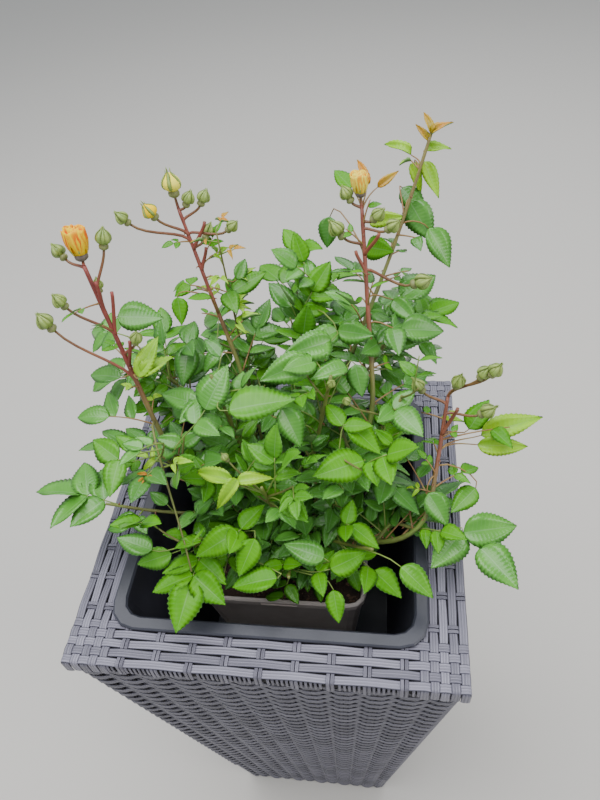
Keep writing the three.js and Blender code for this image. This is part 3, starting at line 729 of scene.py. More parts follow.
# Leaves that show plainly: how far along the stem one grows, where its end leaflet starts and where
# the tip is, how many leaflets it has, and its kind
shown = {
    "centre_left": [
        (0.75, (34, 214, 846), (30, 349, 852), 1, "fresh"),
        (0.8, (18, 335, 838), (46, 320, 812), 1, "mid"),
    ],
    "left_mid": [
        (0.8, (58, 178, 822), (50, 140, 852), 3, "mid"), (0.6, (88, 188, 790), (120, 192, 778), 3, "mid"),
    ],
    "left_back": [
        (0.7, (70, 168, 815), (112, 166, 818), 3, "mid"),
        (0.8, (122, 138, 828), (104, 153, 806), 3, "dark"),
    ],
    "centre_right": [
        (0.85, (52, 43, 856), (10, 105, 854), 3, "mid"), (0.9, (82, 30, 842), (46, 27, 850), 1, "mid"),
        (0.6, (92, 32, 838), (89, 17, 818), 1, "dark"),
    ],
    "back": [(0.9, (81, 46, 858), (36, 60, 866), 3, "mid")],
    "centre_low": [
        (0.85, (74, 358, 812), (107, 348, 798), 3, "bright"),
        (0.8, (93, 343, 792), (68, 312, 799), 1, "bright"),
    ],
    "centre_front": [
        (0.8, (63, 248, 797), (80, 218, 800), 1, "young"),
        (0.8, (63, 250, 797), (56, 281, 802), 1, "young"),
        (0.8, (60, 250, 798), (90, 246, 790), 1, "young"),
    ],
    "front_left": [
        (0.5, (83, 253, 748), (121, 240, 744), 3, "bright"),
        (0.4, (86, 265, 748), (117, 260, 730), 1, "bright"),
        (0.5, (112, 277, 724), (123, 257, 724), 1, "bright"),
        (0.8, (129, 227, 728), (161, 221, 722), 1, "fresh"),
        (0.9, (142, 222, 733), (166, 211, 738), 1, "mid"),
    ],
    "front": [
        (0.5, (112, 302, 716), (123, 319, 724), 3, "bright"),
        (0.3, (106, 301, 728), (87, 282, 740), 1, "mid"),
        (0.6, (126, 300, 704), (152, 297, 692), 1, "bright"),
    ],
    "front_right": [
        (0.4, (101, 320, 744), (131, 323, 730), 3, "bright"),
        (0.5, (156, 322, 730), (193, 322, 722), 1, "fresh"),
    ],
    "left_low": [(0.1, (113, 203, 732), (128, 195, 738), 1, "mid")],
    "right_low": [
        (0.5, (206, 341, 720), (247, 335, 722), 1, "mid"),
        (0.5, (187, 344, 722), (176, 330, 716), 1, "mid"),
        (0.5, (188, 343, 724), (234, 348, 730), 1, "mid"),
    ],
    "right": [
        (0.2, (150, 349, 748), (175, 343, 728), 1, "mid"),
        (0.3, (193, 355, 742), (174, 346, 738), 1, "fresh"),
        (0.45, (197, 6, 774), (252, 7, 794), 1, "young"), (0.45, (193, 4, 769), (238, 2, 774), 1, "young"),
        (0.6, (188, 9, 772), (210, 14, 792), 1, "bright"),
    ],
    "left": [
        (0.3, (120, 172, 848), (112, 156, 874), 1, "young"),
        (0.3, (118, 170, 845), (98, 158, 860), 1, "young"),
        (0.55, (154, 157, 884), (119, 147, 880), 1, "mid"),
        (0.3, (141, 171, 842), (178, 170, 840), 1, "dark"),
    ],
    "back_left": [
        (0.42, (134, 111, 862), (147, 96, 872), 3, "fresh"),
        (0.35, (150, 132, 866), (131, 136, 848), 1, "bright"),
        (0.5, (141, 108, 870), (156, 103, 883), 1, "mid"),
    ],
    "back_right": [
        (0.7, (196, 76, 905), (180, 76, 878), 1, "dark"), (0.45, (165, 44, 862), (208, 43, 872), 3, "mid"),
        (0.3, (145, 35, 850), (184, 29, 846), 3, "dark"),
        (0.98, (186, 63, 950), (194, 66, 972), 1, "bronze"),
        (0.97, (188, 68, 944), (197, 74, 956), 1, "bright"),
        (0.97, (190, 60, 950), (203, 56, 964), 1, "bronze"),
        (0.6, (180, 62, 890), (170, 50, 905), 1, "bright"),
        (0.8, (186, 62, 915), (192, 52, 928), 1, "young"),
    ],
    "young": [
        (0.45, (222, 58, 936), (218, 50, 918), 1, "dark"),
        (0.45, (212, 54, 932), (206, 45, 906), 1, "dark"),
        (0.42, (209, 47, 914), (213, 39, 884), 1, "mid"),
        (0.75, (238, 55, 958), (226, 48, 938), 1, "young"),
        (0.75, (236, 57, 956), (222, 53, 938), 1, "young"),
        (0.78, (236, 58, 962), (232, 64, 974), 1, "young"),
        (0.85, (240, 55, 968), (246, 50, 976), 1, "young"),
        (1, (241, 54, 984), (244, 56, 1001), 1, "bronze"),
        (1, (241, 54, 983), (250, 51, 997), 1, "bronze"),
        (0.95, (240, 54, 978), (236, 57, 992), 1, "bronze"),
    ],
    "right_back": [(0.7, (118, 10, 808), (140, 355, 812), 3, "mid")],
    "back_mid": [(0.6, (130, 38, 838), (168, 30, 842), 3, "dark")],
}


# how far a leaf that shows plainly turns its face to the camera, and the room it keeps for itself
plainTurn, plainCrowding, plainRoom = 0.7, 0.2, 11


def turnToCamera(base, heading):
    side, face = bladeFrame(heading, 0)
    toward = np.array(camera["place"]) / mm - base
    return max(-1.0, min(1.0, plainTurn * math.atan2(-(toward @ side), toward @ face)))


def shownLeaf(name, along, base, tip, leaflets, kind):
    stem = limbs[name]["stem"]
    root, base, tip = stem.at(along), point(*base), point(*tip)
    size, span = math.dist(base, tip), math.dist(root, base)
    heading = (tip - base) / size
    rise = unit(stem.heading(along) + (base - root) / max(span, 1))
    stalk = Sweep(root, root + rise * span * 0.35, base - heading * span * 0.3, base)
    blades = [blade(base, heading, turnToCamera(base, heading), size, plainCrowding)]
    for share, scale in pairPlaces.get(leaflets, []):
        way, spot = stalk.heading(share), stalk.at(share)
        side = bladeFrame(way, 0)[0]
        for sign in (-1, 1):
            outward = unit(way * 0.45 + side * 0.9 * sign)
            turn = turnToCamera(spot, outward)
            blades.append(blade(spot, outward, turn, size * scale * 0.9, plainCrowding))
    return {**leafOn(stalk, blades), "kind": kind}


shownLeaves = {name: [(row[0], shownLeaf(name, *row)) for row in rows] for name, rows in shown.items()}


# how much of the solids' own leaves is kept where the plant is seen to be open
kept = {"right_low": 0.1, "left_low": 0.12, "front": 0.45, "front_right": 0.7, "front_left": 0.7, "left": 0.5,
        "left_mid": 0.6}
# leaves of the solids whose place a leaf above takes
leftOut = {("front", 0), ("right_low", 0)}
# below this height the leaves keep out of these parts, so that the pot and the liner can be seen
openLow = {"high": 785, "front": -98, "rightFrom": 92, "rightFront": -48, "leftFrom": -86, "leftFront": 8}


def isOpenPart(spot):
    x, y, z = spot
    isLeft = x < openLow["leftFrom"] and y < openLow["leftFront"]
    isRight = x > openLow["rightFrom"] and y < openLow["rightFront"]
    return z < openLow["high"] and (y < openLow["front"] or isLeft or isRight)


# The leaves placed above and the flowering stems show plainly in the picture. A blade hides them when it
# is this near them, in pixels, and nearer to the camera by this much, in millimetres
plain = {"leafPixels": 8.0, "stemPixels": 5.0, "nearer": 4.0}
# shares along and across a blade where its place in the picture is taken
bladeSpots = ((0.15, 0), (0.45, -0.3), (0.45, 0), (0.45, 0.3), (0.75, 0), (0.95, 0))
plainBlades = [each for leaves in shownLeaves.values() for _, leaf in leaves for each in leaf["blades"]]
plainLeaves = inPicture([
    each["root"] + (each["tip"] - each["root"]) * share + (each["right"] - each["left"]) * across
    for each in plainBlades for share, across in bladeSpots
])
plainStems = inPicture([spot for name in flowering for spot in limbs[name]["stem"].samples(24)])


def hidesPlain(part):
    spots, far = inPicture([*part["spots"], part["tip"], part["left"], part["right"]])
    reaches = (plainLeaves, plain["leafPixels"]), (plainStems, plain["stemPixels"])
    for (shownSpots, shownFar), reach in reaches:
        apart = np.hypot(*(spots[:, None] - shownSpots).transpose(2, 0, 1))
        if ((apart < reach) & (far[:, None] < shownFar - plain["nearer"])).any():
            return True
    return False


# thins the solids' leaves where the plant is open, and adds the leaves that show plainly
def openUp():
    random = seeded(606)
    taken = np.array([spot for each in plainBlades for spot in each["spots"]])
    for name, leaves in grown.items():
        left = []
        for index, (along, leaf) in enumerate(leaves):
            isReaching = index < len(shoots[name].get("reaches", []))
            if not isReaching and random() > kept.get(name, 1) or (name, index) in leftOut:
                continue
            blades = leaf["blades"]
            if not isReaching:
                blades = [each for each in blades if not hidesPlain(each)]
            blades = [each for each in blades if all(
                ((taken - spot) ** 2).sum(1).min() > plainRoom ** 2 for spot in each["spots"])]
            if not isReaching and index % 2:
                blades = [each for each in blades if not isOpenPart(each["tip"])]
            leaf["blades"] = blades
            if blades:
                left.append((along, leaf))
        grown[name] = left + shownLeaves.get(name, [])
    crowd.count = 0
    for leaves in grown.values():
        for _, leaf in leaves:
            crowd.addLeaf(leaf)


openUp()

# Finer growth: side twigs that fill each mass of the dome, and small leaves up the flowering shoots

fill = {
    "twigs": 6, "leavesPerTwig": 3, "twigLength": 42, "twigTries": 4, "crowding": 0.15, "clearance": 0.2,
    "leaf": 0.85, "leaflet": 0.98, "seed": 901, "bracts": 5, "bractLeaf": 0.55, "boxClearance": 0.5,
    "tries": 8, "turnStep": 53, "spread": 60, "spreadFrom": 0.5, "lift": (10, 40), "shrink": 0.05,
    "leafLong": (0.75, 0.45), "leafletLong": (0.75, 0.4), "leafletMost": 0.72, "droop": (0.2, 0.5),
    "roll": 1.1, "rollFirst": True,
    # a side twig's turn is its first, a step for each try and what luck may add
    "twigTurn": (70, 80, 40), "twigLift": (15, 35), "twigLong": (0.6, 0.7), "twigShrink": 0.12,
    "twigRise": 0.6, "twigHandles": (0.35, 0.3),
}
# side twigs of the masses that stay more open
fewTwigs = {"right_low": 0, "left_low": 0, "front": 1, "front_right": 3, "front_left": 3, "left_mid": 4,
            "left_back": 5, "centre_left": 5, "centre_front": 5}
twigs = []


def insideBox(spots):
    slack = fill["boxClearance"]
    return bool(((spots > boxLow + slack) & (spots < boxHigh - slack)).all())


def fillFits(part, name):
    rim = rimOf(part, ("tip",))
    if isOpenPart(part["tip"]) or isOpenPart(part["belly"]) or hidesPlain(part):
        return False
    return insideBox(rim) and isFree(rim, name, fill["clearance"]) and crowd.isClear(part)


# tries a few leaves at one place, and keeps the first that finds room
def tryLeaf(name, random, root, axis, node, sizes, leaflets):
    for attempt in range(fill["tries"]):
        leaf = luckyLeaf(fill, random, root, axis, node, attempt, sizes, leaflets)
        if not isFree(leaf["spots"][1:], name, fill["clearance"]):
            continue
        fitting = [each for each in leaf["blades"] if fillFits(each, name)]
        if len(fitting) >= leaflets - 2:
            leaf["blades"] = fitting
            crowd.addLeaf(leaf)
            return leaf
    return None


# small leaves right up a flowering shoot
def fillShoot(name, random):
    shoot, stem = shoots[name], limbs[name]["stem"]
    sizes = [shoot[part] * fill["bractLeaf"] for part in ("leaf", "leaflet")]
    for node in range(fill["bracts"]):
        along = 0.04 + 0.9 * node / fill["bracts"]
        leaf = tryLeaf(name, random, stem.at(along), stem.heading(along), node, sizes, 3)
        if leaf:
            grown[name].append((along, leaf))


# a side twig that finds room, or nothing
def tryTwig(name, random, root, axis, node):
    (start, step, luck), (near, far) = fill["twigTurn"], fill["twigHandles"]
    for attempt in range(fill["twigTries"]):
        turn = math.radians(node * growth["goldenAngle"] + start + step * attempt + luck * random())
        first = leansFrom(axis, turn, math.radians(drawn(fill["twigLift"], random)))
        length = fill["twigLength"] * drawn(fill["twigLong"], random) * (1 - fill["twigShrink"] * attempt)
        last = unit(first + up * fill["twigRise"])
        end = root + first * length * 0.55 + last * length * 0.45
        twig = Sweep(root, root + first * length * near, end - last * length * far, end)
        if isFree(twig.samples(4)[1:], name, fill["clearance"]):
            return twig
    return None


def fillMass(name):
    shoot, stem = shoots[name], limbs[name]["stem"]
    random = seeded(order.index(name) * 53 + fill["seed"])
    if shoot["leaflets"] == 3:
        fillShoot(name, random)
        return
    count, last = fewTwigs.get(name, fill["twigs"]), fill["leavesPerTwig"] - 1
    sizes = [shoot[part] * fill[part] for part in ("leaf", "leaflet")]
    for node in range(count):
        along = 0.04 + 0.94 * node / max(count - 1, 1)
        twig = tryTwig(name, random, stem.at(along), stem.heading(along), node)
        if not twig:
            continue
        places = [0.3 + 0.7 * k / last for k in range(last + 1)]
        leaves = [tryLeaf(name, random, twig.at(share), twig.heading(share), k + node, sizes, 5)
                  for k, share in enumerate(places)]
        leaves = [(along, leaf) for leaf in leaves if leaf]
        if leaves:
            twigs.append((twig, name))
            grown[name] += leaves


# smaller, darker leaves on the canes, inside the dome
inner = {
    "nodes": 7, "low": 0.38, "leaf": 46, "leaflet": 37, "seed": 333, "crowding": 0.13, "fewest": 3,
    "fromCanes": 4, "fromStems": 3, "darkShare": 0.55,
    "tries": 7, "turnStep": 67, "spread": 60, "spreadFrom": 0, "lift": (10, 45), "shrink": 0,
    "leafLong": (0.7, 0.5), "leafletLong": (0.75, 0.4), "leafletMost": 0.8, "droop": (0.1, 0.5), "roll": 1,
}


def innerFits(part):
    rim = rimOf(part)
    isClear = isOverFloor(rim) and (distances(rim, caneRuns) > inner["fromCanes"]).all()
    isClear = isClear and (distances(rim, stemRuns) > inner["fromStems"]).all()
    return isClear and not isOpenPart(part["tip"]) and not hidesPlain(part) and crowd.isClear(part)


def fillInside(name):
    cane = limbs[name]["cane"]
    random = seeded(order.index(name) * 71 + inner["seed"])
    sizes = inner["leaf"], inner["leaflet"]
    for node in range(inner["nodes"]):
        along = inner["low"] + (0.98 - inner["low"]) * node / (inner["nodes"] - 1)
        for attempt in range(inner["tries"]):
            leaf = luckyLeaf(inner, random, cane.at(along), cane.heading(along), node, attempt, sizes, 5)
            fitting = [each for each in leaf["blades"] if innerFits(each)]
            if len(fitting) >= inner["fewest"]:
                leaf["blades"] = fitting
                leaf["kind"] = "dark" if random() < inner["darkShare"] else "mid"
                crowd.addLeaf(leaf)
                grown[name].append((0, leaf))
                break


for name in order:
    fillMass(name)
for name in order:
    fillInside(name)

# thin shoots that stand out of the masses: where each leaves the stem and ends, its leaves and its bud
sprigs = [
    ("back_low", 0.98, (148, 112, 925), 9, 0), ("centre_right", 0.85, (60, 3, 856), 0, 8),
    ("right_back", 0.7, (76, 354, 846), 0, 8), ("centre_front", 0.7, (54, 237, 808), 0, 8),
    ("left_mid", 0.7, (108, 212, 812), 3, 0), ("left_low", 0.0, (129, 235, 716), 0, 0),
    ("left", 0.0, (132, 242, 738), 0, 0),
]
sprigLeaf = {"from": 0.3, "long": 24, "shorter": 10, "lift": 0.5, "droop": 0.2, "leaflet": 0.9,
             "bronzeFrom": 0.75}
sprigBuds = []


def growSprigs():
    random = seeded(2024)
    for name, along, end, leaves, bud in sprigs:
        stem = limbs[name]["stem"]
        root, top = stem.at(along), point(*end)
        span = math.dist(root, top)
        rise = unit(top - root + up * span * 0.4)
        lead = unit(stem.heading(along) + rise)
        sprig = Sweep(root, root + lead * span * 0.3, top - rise * span * 0.35, top)
        twigs.append((sprig, name))
        for node in range(leaves):
            share = sprigLeaf["from"] + (1 - sprigLeaf["from"]) * node / (leaves - 1)
            length = sprigLeaf["long"] - sprigLeaf["shorter"] * share
            turn = math.radians(node * growth["goldenAngle"])
            first = leansFrom(sprig.heading(share), turn, sprigLeaf["lift"])
            leaf = compoundLeaf(sprig.at(share), first, length, sprigLeaf["droop"],
                                length * sprigLeaf["leaflet"], 3, random() - 0.5)
            leaf["kind"] = "bronze" if share > sprigLeaf["bronzeFrom"] else "young"
            grown[name].append((1, leaf))
        if bud:
            sprigBuds.append((top, sprig.heading(1), bud))


growSprigs()
print("leaves with the finer twigs:", sum(map(len, grown.values())),
      "leaflets:", sum(len(leaf["blades"]) for leaves in grown.values() for _, leaf in leaves))


# Leaf meshes: each leaflet is closed, toothed, folded along its rib and corrugated by its veins

# shares of a leaflet's length, other than the last row, which is in millimetres and in teeth
leafletShape = {
    "half": 0.32, "droop": 0.12, "fold": 0.1, "bulge": 0.03, "vein": 0.0008, "slant": 0.34, "round": 0.62,
    "taper": 1.06, "fullest": 0.345, "wave": 0.022, "waves": 7.5, "tooth": 0.04, "toothAhead": 0.014,
    "thick": 0.012,
    "toothEvery": 3.3, "fewestTeeth": 5, "mostTeeth": 14,
}


def leafletTemplate(teeth):
    shape, rows = leafletShape, teeth * 2
    points, uv, faces = [(0, 0, 0)], [(0, 0.5)], []
    for i in range(1, rows):
        t = i / rows
        far = t + shape["slant"] * t * (1 - t)
        wide = shape["half"] * far ** shape["round"] * (1 - far) ** shape["taper"] / shape["fullest"]
        sign = 1 if i % 2 else -1
        wide *= 1 + shape["tooth"] * sign
        rim = far + (shape["toothAhead"] if i % 2 else 0)
        share = wide / shape["half"]
        ribZ, rimZ = -shape["droop"] * t * t, shape["fold"] * share - shape["droop"] * far * far
        midZ = (ribZ + rimZ) / 2 + shape["bulge"] * share - shape["vein"] * sign
        middle = (t + rim) / 2
        leftWave, rightWave = (shape["wave"] * math.sin(shape["waves"] * t + start) for start in (0, 2))
        points += [(-wide, rim, rimZ + leftWave), (-wide / 2, middle, midZ), (0, t, ribZ),
                   (wide / 2, middle, midZ), (wide, rim, rimZ + rightWave), (0, t, ribZ - shape["thick"])]
        along = t * teeth * 0.1
        uv += [(along, across) for across in (0, 0.25, 0.5, 0.75, 1, 0.5)]
    last = len(points)
    points.append((0, 1, -shape["droop"]))
    uv.append((teeth * 0.1, 0.5))
    for a in range(1, last - 6, 6):
        b = a + 6
        faces += [(a + k, a + k + 1, b + k + 1, b + k) for k in range(4)]
        faces += [(a + 5, a, b, b + 5), (a + 4, a + 5, b + 5, b + 4)]
    a = last - 6
    faces += [(0, 2 + k, 1 + k) for k in range(4)] + [(0, 1, 6), (0, 6, 5)]
    faces += [(last, a + k, a + k + 1) for k in range(4)] + [(last, a + 5, a), (last, a + 4, a + 5)]
    looks = ([0] * 4 + [1] * 2) * (len(faces) // 6)
    return np.array(points), faces, looks, np.array(uv)


templates = {teeth: leafletTemplate(teeth)
             for teeth in range(leafletShape["fewestTeeth"], leafletShape["mostTeeth"] + 1)}


def addLeaflet(skin, each, deepen, broaden, grow, roll):
    teeth = round(each["length"] / leafletShape["toothEvery"])
    teeth = max(leafletShape["fewestTeeth"], min(leafletShape["mostTeeth"], teeth))
    shape, faces, looks, uv = templates[teeth]
    scaled = shape * each["length"] * np.array([broaden, 1, deepen]) * grow
    side = each["side"] * math.cos(roll) + each["face"] * math.sin(roll)
    face = each["face"] * math.cos(roll) - each["side"] * math.sin(roll)
    spots = each["root"] + scaled[:, :1] * side + scaled[:, 1:2] * each["heading"] + scaled[:, 2:] * face
    skin.add(spots, faces, looks, uv)


# Foliage: tone on the upper side of a blade, its darker patches, roughness, coat and gloss
leafLooks = {
    "dark": ((0.103, 0.320, 0.044), (0.056, 0.217, 0.025), 0.24, 0.20, 0.40),
    "mid": ((0.126, 0.392, 0.048), (0.073, 0.280, 0.027), 0.24, 0.22, 0.44),
    "fresh": ((0.108, 0.362, 0.015), (0.064, 0.262, 0.009), 0.27, 0.12, 0.26),
    "bright": ((0.114, 0.385, 0.006), (0.070, 0.290, 0.004), 0.32, 0.06, 0.16),
    "young": ((0.360, 0.640, 0.014), (0.240, 0.520, 0.012), 0.34, 0.16, 0.30),
    "bronze": ((0.640, 0.230, 0.020), (0.400, 0.330, 0.020), 0.34, 0.16, 0.30),
}
# how wide and how folded the blades of a kind are, and how much larger they grow in the masses
leafBuild = {"young": (0.66, 2.4), "bronze": (0.6, 2.6), "others": (1.03, 1.0), "grow": 1.16}
undersideLook = {"tone": (0.190, 0.370, 0.100), "roughness": 0.65}
# veins: depth of the relief, how pale the rib and rim and the side veins are, and where they lie
veinLook = {"relief": 0.00014, "pale": 0.14, "side": 0.04, "rib": 0.04, "rim": 0.95, "sideWide": 0.06,
            "perTooth": 10.0}


def leafMaterial(kind):
    pale, dark, roughness, coat, gloss = leafLooks[kind]
    made = newMaterial(f"{kind}Leaf", pale, roughness, coat=coat, specular=gloss)
    tree = made.node_tree
    tone = mixColour(tree, addMottle(tree, 45.0, 1400.0, 2.4)["Mask"], dark, pale)
    uv = place(tree, "ShaderNodeUVMap", {"uv_map": "blade"})
    along, across = place(tree, "ShaderNodeSeparateXYZ", Vector=uv.outputs[0]).outputs[:2]
    out = maths(tree, "ABSOLUTE", maths(tree, "MULTIPLY_ADD", across, 2.0, -1.0))
    beat = maths(tree, "FRACT", maths(tree, "MULTIPLY", along, veinLook["perTooth"]))
    fromVein = maths(tree, "ABSOLUTE", maths(tree, "SUBTRACT", beat, 0.5))
    fromRib = maths(tree, "MULTIPLY", out, 5.0)
    sunk = maths(tree, "SMOOTH_MIN", maths(tree, "MULTIPLY", fromVein, 2.6), fromRib, 0.25)
    ribs = maths(tree, "LESS_THAN", out, veinLook["rib"])
    rims = maths(tree, "GREATER_THAN", out, veinLook["rim"])
    isSide = maths(tree, "LESS_THAN", fromVein, veinLook["sideWide"])
    sides = maths(tree, "MULTIPLY", isSide, veinLook["side"])
    paler = maths(tree, "MULTIPLY", maths(tree, "MAXIMUM", ribs, rims), veinLook["pale"])
    paler = maths(tree, "MAXIMUM", paler, sides)
    paint(made, mixColour(tree, paler, tone, tuple(0.5 * c + 0.4 for c in pale)))
    addBump(made, sunk, 0.7, veinLook["relief"])
    return made


# kinds of leaf by where they grow, each with the share of luck that it ends at
kindShares = {
    "flowering": {"young": 0.3, "bright": 0.6, "fresh": 1},
    "front": {"bright": 0.5, "fresh": 0.8, "mid": 1},
    "left_low": {"mid": 1},
    "low": {"dark": 0.6, "mid": 1},
    "high": {"bright": 0.2, "fresh": 0.5, "mid": 0.85, "dark": 1},
}
highFrom = 730


def kindOf(name, along, leaf, random):
    luck = random()
    if "kind" in leaf:
        return leaf["kind"]
    if name == "young":
        return "young" if along > 0.5 else "dark"
    isHigh = leaf["blades"][0]["root"][2] >= highFrom
    if name in flowering:
        shares = kindShares["flowering"]
    elif name in ("front", "front_left", "front_right", "right_low"):
        shares = kindShares["front"]
    else:
        shares = kindShares.get(name) or kindShares["high" if isHigh else "low"]
    return next(kind for kind, share in shares.items() if luck < share)


def makeLeaves():
    random = seeded(77)
    skins = {kind: Skin() for kind in leafLooks}
    tone = undersideLook["tone"]
    underside = mottledMaterial("leafUnderside", tone, shaded(tone, 0.75), undersideLook["roughness"],
                                60.0, 1200.0, 0.0002)
    for name, leaves in grown.items():
        for along, leaf in leaves:
            kind = kindOf(name, along, leaf, random)
            grow = 1 if "kind" in leaf or shoots[name]["leaflets"] == 3 else leafBuild["grow"]
            wide, deep = leafBuild.get(kind, leafBuild["others"])
            for each in leaf["blades"]:
                addLeaflet(skins[kind], each, deep * (0.5 + random()), wide * (0.9 + 0.2 * random()), grow,
                           0.7 * (random() - 0.5))
    masses = [f"leaves_{name}" for name in order]
    for kind, skin in skins.items():
        skin.piece(f"{kind}Leaves", "foliage", [leafMaterial(kind), underside], masses)


# Stems, twigs, leaf stalks and prickles

# a closed tube along a path; relief swells or shrinks its radius by ring and by side
def addTube(skin, path, radii, sides, look=0, value=0.0, relief=lambda i, k: 0):
    path = [np.asarray(spot) for spot in path]
    worth = np.full(len(path), value, float)
    points, values = [path[0]], [worth[0]]
    heading = unit(path[1] - path[0])
    side = cross(heading, up if abs(heading[2]) < 0.9 else np.array([1.0, 0, 0]))
    for i, spot in enumerate(path):
        ahead = unit(path[min(i + 1, len(path) - 1)] - path[max(i - 1, 0)])
        side = unit(side - ahead * (side @ ahead))
        over = cross(ahead, side)
        for k in range(sides):
            turn = 2 * math.pi * k / sides
            out = side * math.cos(turn) + over * math.sin(turn)
            points.append(spot + out * radii[i] * (1 + relief(i, k)))
        values += [worth[i]] * sides
    points.append(path[-1])
    values.append(worth[-1])
    skin.add(points, ringFaces(len(path), sides), look, None, np.array(values))


stemLook = {
    "old": (0.150, 0.160, 0.042), "green": (0.180, 0.270, 0.048), "ripe": (0.330, 0.065, 0.050),
    "roughness": 0.42, "sides": 10, "rings": 34, "relief": 0.0004, "stalkSides": 5, "sideShootRed": 0.15,
    "greenRipeness": 0.12, "ripeFrom": 0.42, "ripens": 4, "swells": 0.1,
    # radii at the start and at the end
    "budStalk": (1.6, 1.2), "stub": (1.9, 1.6), "twig": (1.3, 0.8), "redStalk": (0.95, 0.5),
    "greenStalk": (0.85, 0.5),
}
# of each small part: two tones, roughness, size of the patches and of the specks, and relief
smallLooks = {
    "prickle": ((0.30, 0.12, 0.06), (0.20, 0.09, 0.05), 0.45, 90.0, 900.0, 0.0),
    "greenStalk": ((0.26, 0.36, 0.07), (0.17, 0.27, 0.05), 0.45, 80.0, 900.0, 0.0),
    "redStalk": ((0.36, 0.24, 0.08), (0.27, 0.12, 0.05), 0.45, 80.0, 900.0, 0.0),
}
# a prickle's length, how far its tip hooks down, and its radii from foot to tip
prickleShape = {"long": (2.2, 1.6), "hook": 1.4, "radii": (1.1, 0.6, 0.08), "every": 4}
# rings of the crown: high above the compost, and share of its radius
crownRings = ((-crown["sunk"], 0.85), (0, 0.95), (8, 1.02), (17, 1.0), (26, 0.9), (crown["high"], 0.72))
# how red a flowering shoot turns towards its tip, from 0 to 1
ripeness = {"left": 1.0, "back_left": 0.95, "back_right": 0.9, "right": 0.85, "young": 0.35}
# bare stalks left where buds were cut: along, bearing, out, rise
stubs = {
    "left": [(0.55, 60, 12, 42), (0.35, 20, 8, 30), (0.7, 95, 5, 30)],
    "back_left": [(0.7, 30, 16, 26), (0.55, 50, 10, 22)],
    "back_right": [(0.7, 340, 14, 26), (0.6, 140, 12, 18)],
    "right": [(0.6, 30, 14, 30)],
}


def barkMaterial():
    made = newMaterial("roseBark", stemLook["green"], stemLook["roughness"], coat=0.15)
    tree = made.node_tree
    patches = addMottle(tree, 70.0, 1500.0, 2.6)
    green = mixColour(tree, patches["Mask"], stemLook["old"], stemLook["green"])
    red = mixColour(tree, patches["Mask"], shaded(stemLook["ripe"], 0.6), stemLook["ripe"])
    paint(made, mixColour(tree, attribute(tree, "ripe"), green, red))
    addBump(made, patches["Grain"], 0.7, stemLook["relief"])
    return made


def budPlace(name, row):
    along, bearing, out, rise, size = row
    stem = limbs[name]["stem"]
    root = stem.at(along)
    middle = root + point(out, bearing, rise)
    heading = unit(unit(middle - root) + up * 0.7)
    base = middle - heading * size * 0.6
    span = math.dist(base, root)
    stalk = Sweep(root, root + stem.heading(along) * span * 0.25, base - heading * span * 0.35,
                  base + heading * size * 0.1)
    return stalk, base, heading, span


# the rings of a cane and of the stem that goes on from it: places and radii
def limbRings(name, phase):
    cane, stem = limbs[name]["cane"], limbs[name]["stem"]
    half = stemLook["rings"] // 2
    path = [cane.at(i / half) for i in range(half)] + [stem.at(i / half) for i in range(half + 1)]
    thick = shoots[name]["thick"]
    mid = thick * growth["caneTaper"]
    radii = [thick + (mid - thick) * i / half for i in range(half)]
    radii += [mid * (1 - (1 - growth["stemTaper"]) * i / half) for i in range(half + 1)]
    swelling = [1 + stemLook["swells"] * max(0, math.cos(i * 1.3 + phase)) ** 6 for i in range(len(path))]
    return path, [radius * swell for radius, swell in zip(radii, swelling)]


def makeStems():
    skin, prickles, random = Skin(), Skin(), seeded(411)
    for phase, name in enumerate(order):
        stem, red = limbs[name]["stem"], ripeness.get(name, stemLook["greenRipeness"])
        path, radii = limbRings(name, phase)
        count, start = len(path), stemLook["ripeFrom"]
        ripe = [red * min(1, max(0, (i / count - start) * stemLook["ripens"])) for i in range(count)]
        addTube(skin, path, radii, stemLook["sides"], 0, ripe,
                lambda i, k: 0.05 * math.sin(k * 2.1 + i * 0.7 + phase) + 0.03 * math.sin(k * 5 + i * 1.9))
        for i in range(3, count - 3, prickleShape["every"]):
            addPrickle(prickles, path[i], unit(path[i + 1] - path[i]), radii[i], random)
        for row in shoots[name].get("buds", []):
            stalk, _, _, span = budPlace(name, row)
            if span > 3:
                fade = np.linspace(red, 0.6 * red, 9)
                addTube(skin, stalk.samples(8), np.linspace(*stemLook["budStalk"], 9), 8, 0, fade)
        for along, bearing, out, rise in stubs.get(name, []):
            root = stem.at(along)
            end = root + point(out, bearing, rise)
            stub = Sweep(root, root + stem.heading(along) * 4, end - up * 6, end)
            addTube(skin, stub.samples(6), np.linspace(*stemLook["stub"], 7), 8, 0, red)
    for twig, name in twigs:
        addTube(skin, twig.samples(6), np.linspace(*stemLook["twig"], 7), 6, 0, stemLook["sideShootRed"])
    makeCrown(skin)
    hidden = [f"cane_{name}" for name in order] + ["crown"]
    skin.piece("stems", "cane", [barkMaterial()], hidden, "ripe")
    prickles.piece("prickles", "cane", [mottledMaterial("prickle", *smallLooks["prickle"])])


def addPrickle(skin, spot, heading, radius, random):
    side = unit(cross(heading, np.array([0.2, 0.3, 1.0])))
    over = cross(heading, side)
    turn = random() * 6.28
    out = side * math.cos(turn) + over * math.sin(turn)
    long = drawn(prickleShape["long"], random)
    tip = spot + out * (radius + long) - heading * prickleShape["hook"]
    path = [spot + out * radius * 0.7, spot + out * (radius + long * 0.5), tip]
    addTube(skin, path, prickleShape["radii"], 5)


def makeCrown(skin):
    path = [np.array([0.0, 0.0, compostTop + high]) for high, _ in crownRings]
    addTube(skin, path, [crown["radius"] * share for _, share in crownRings], 18, 0, 0.0,
            lambda i, k: 0.05 * math.sin(k * 2.3 + i) + 0.04 * math.sin(k * 4.1 + 2 * i) - 0.05)


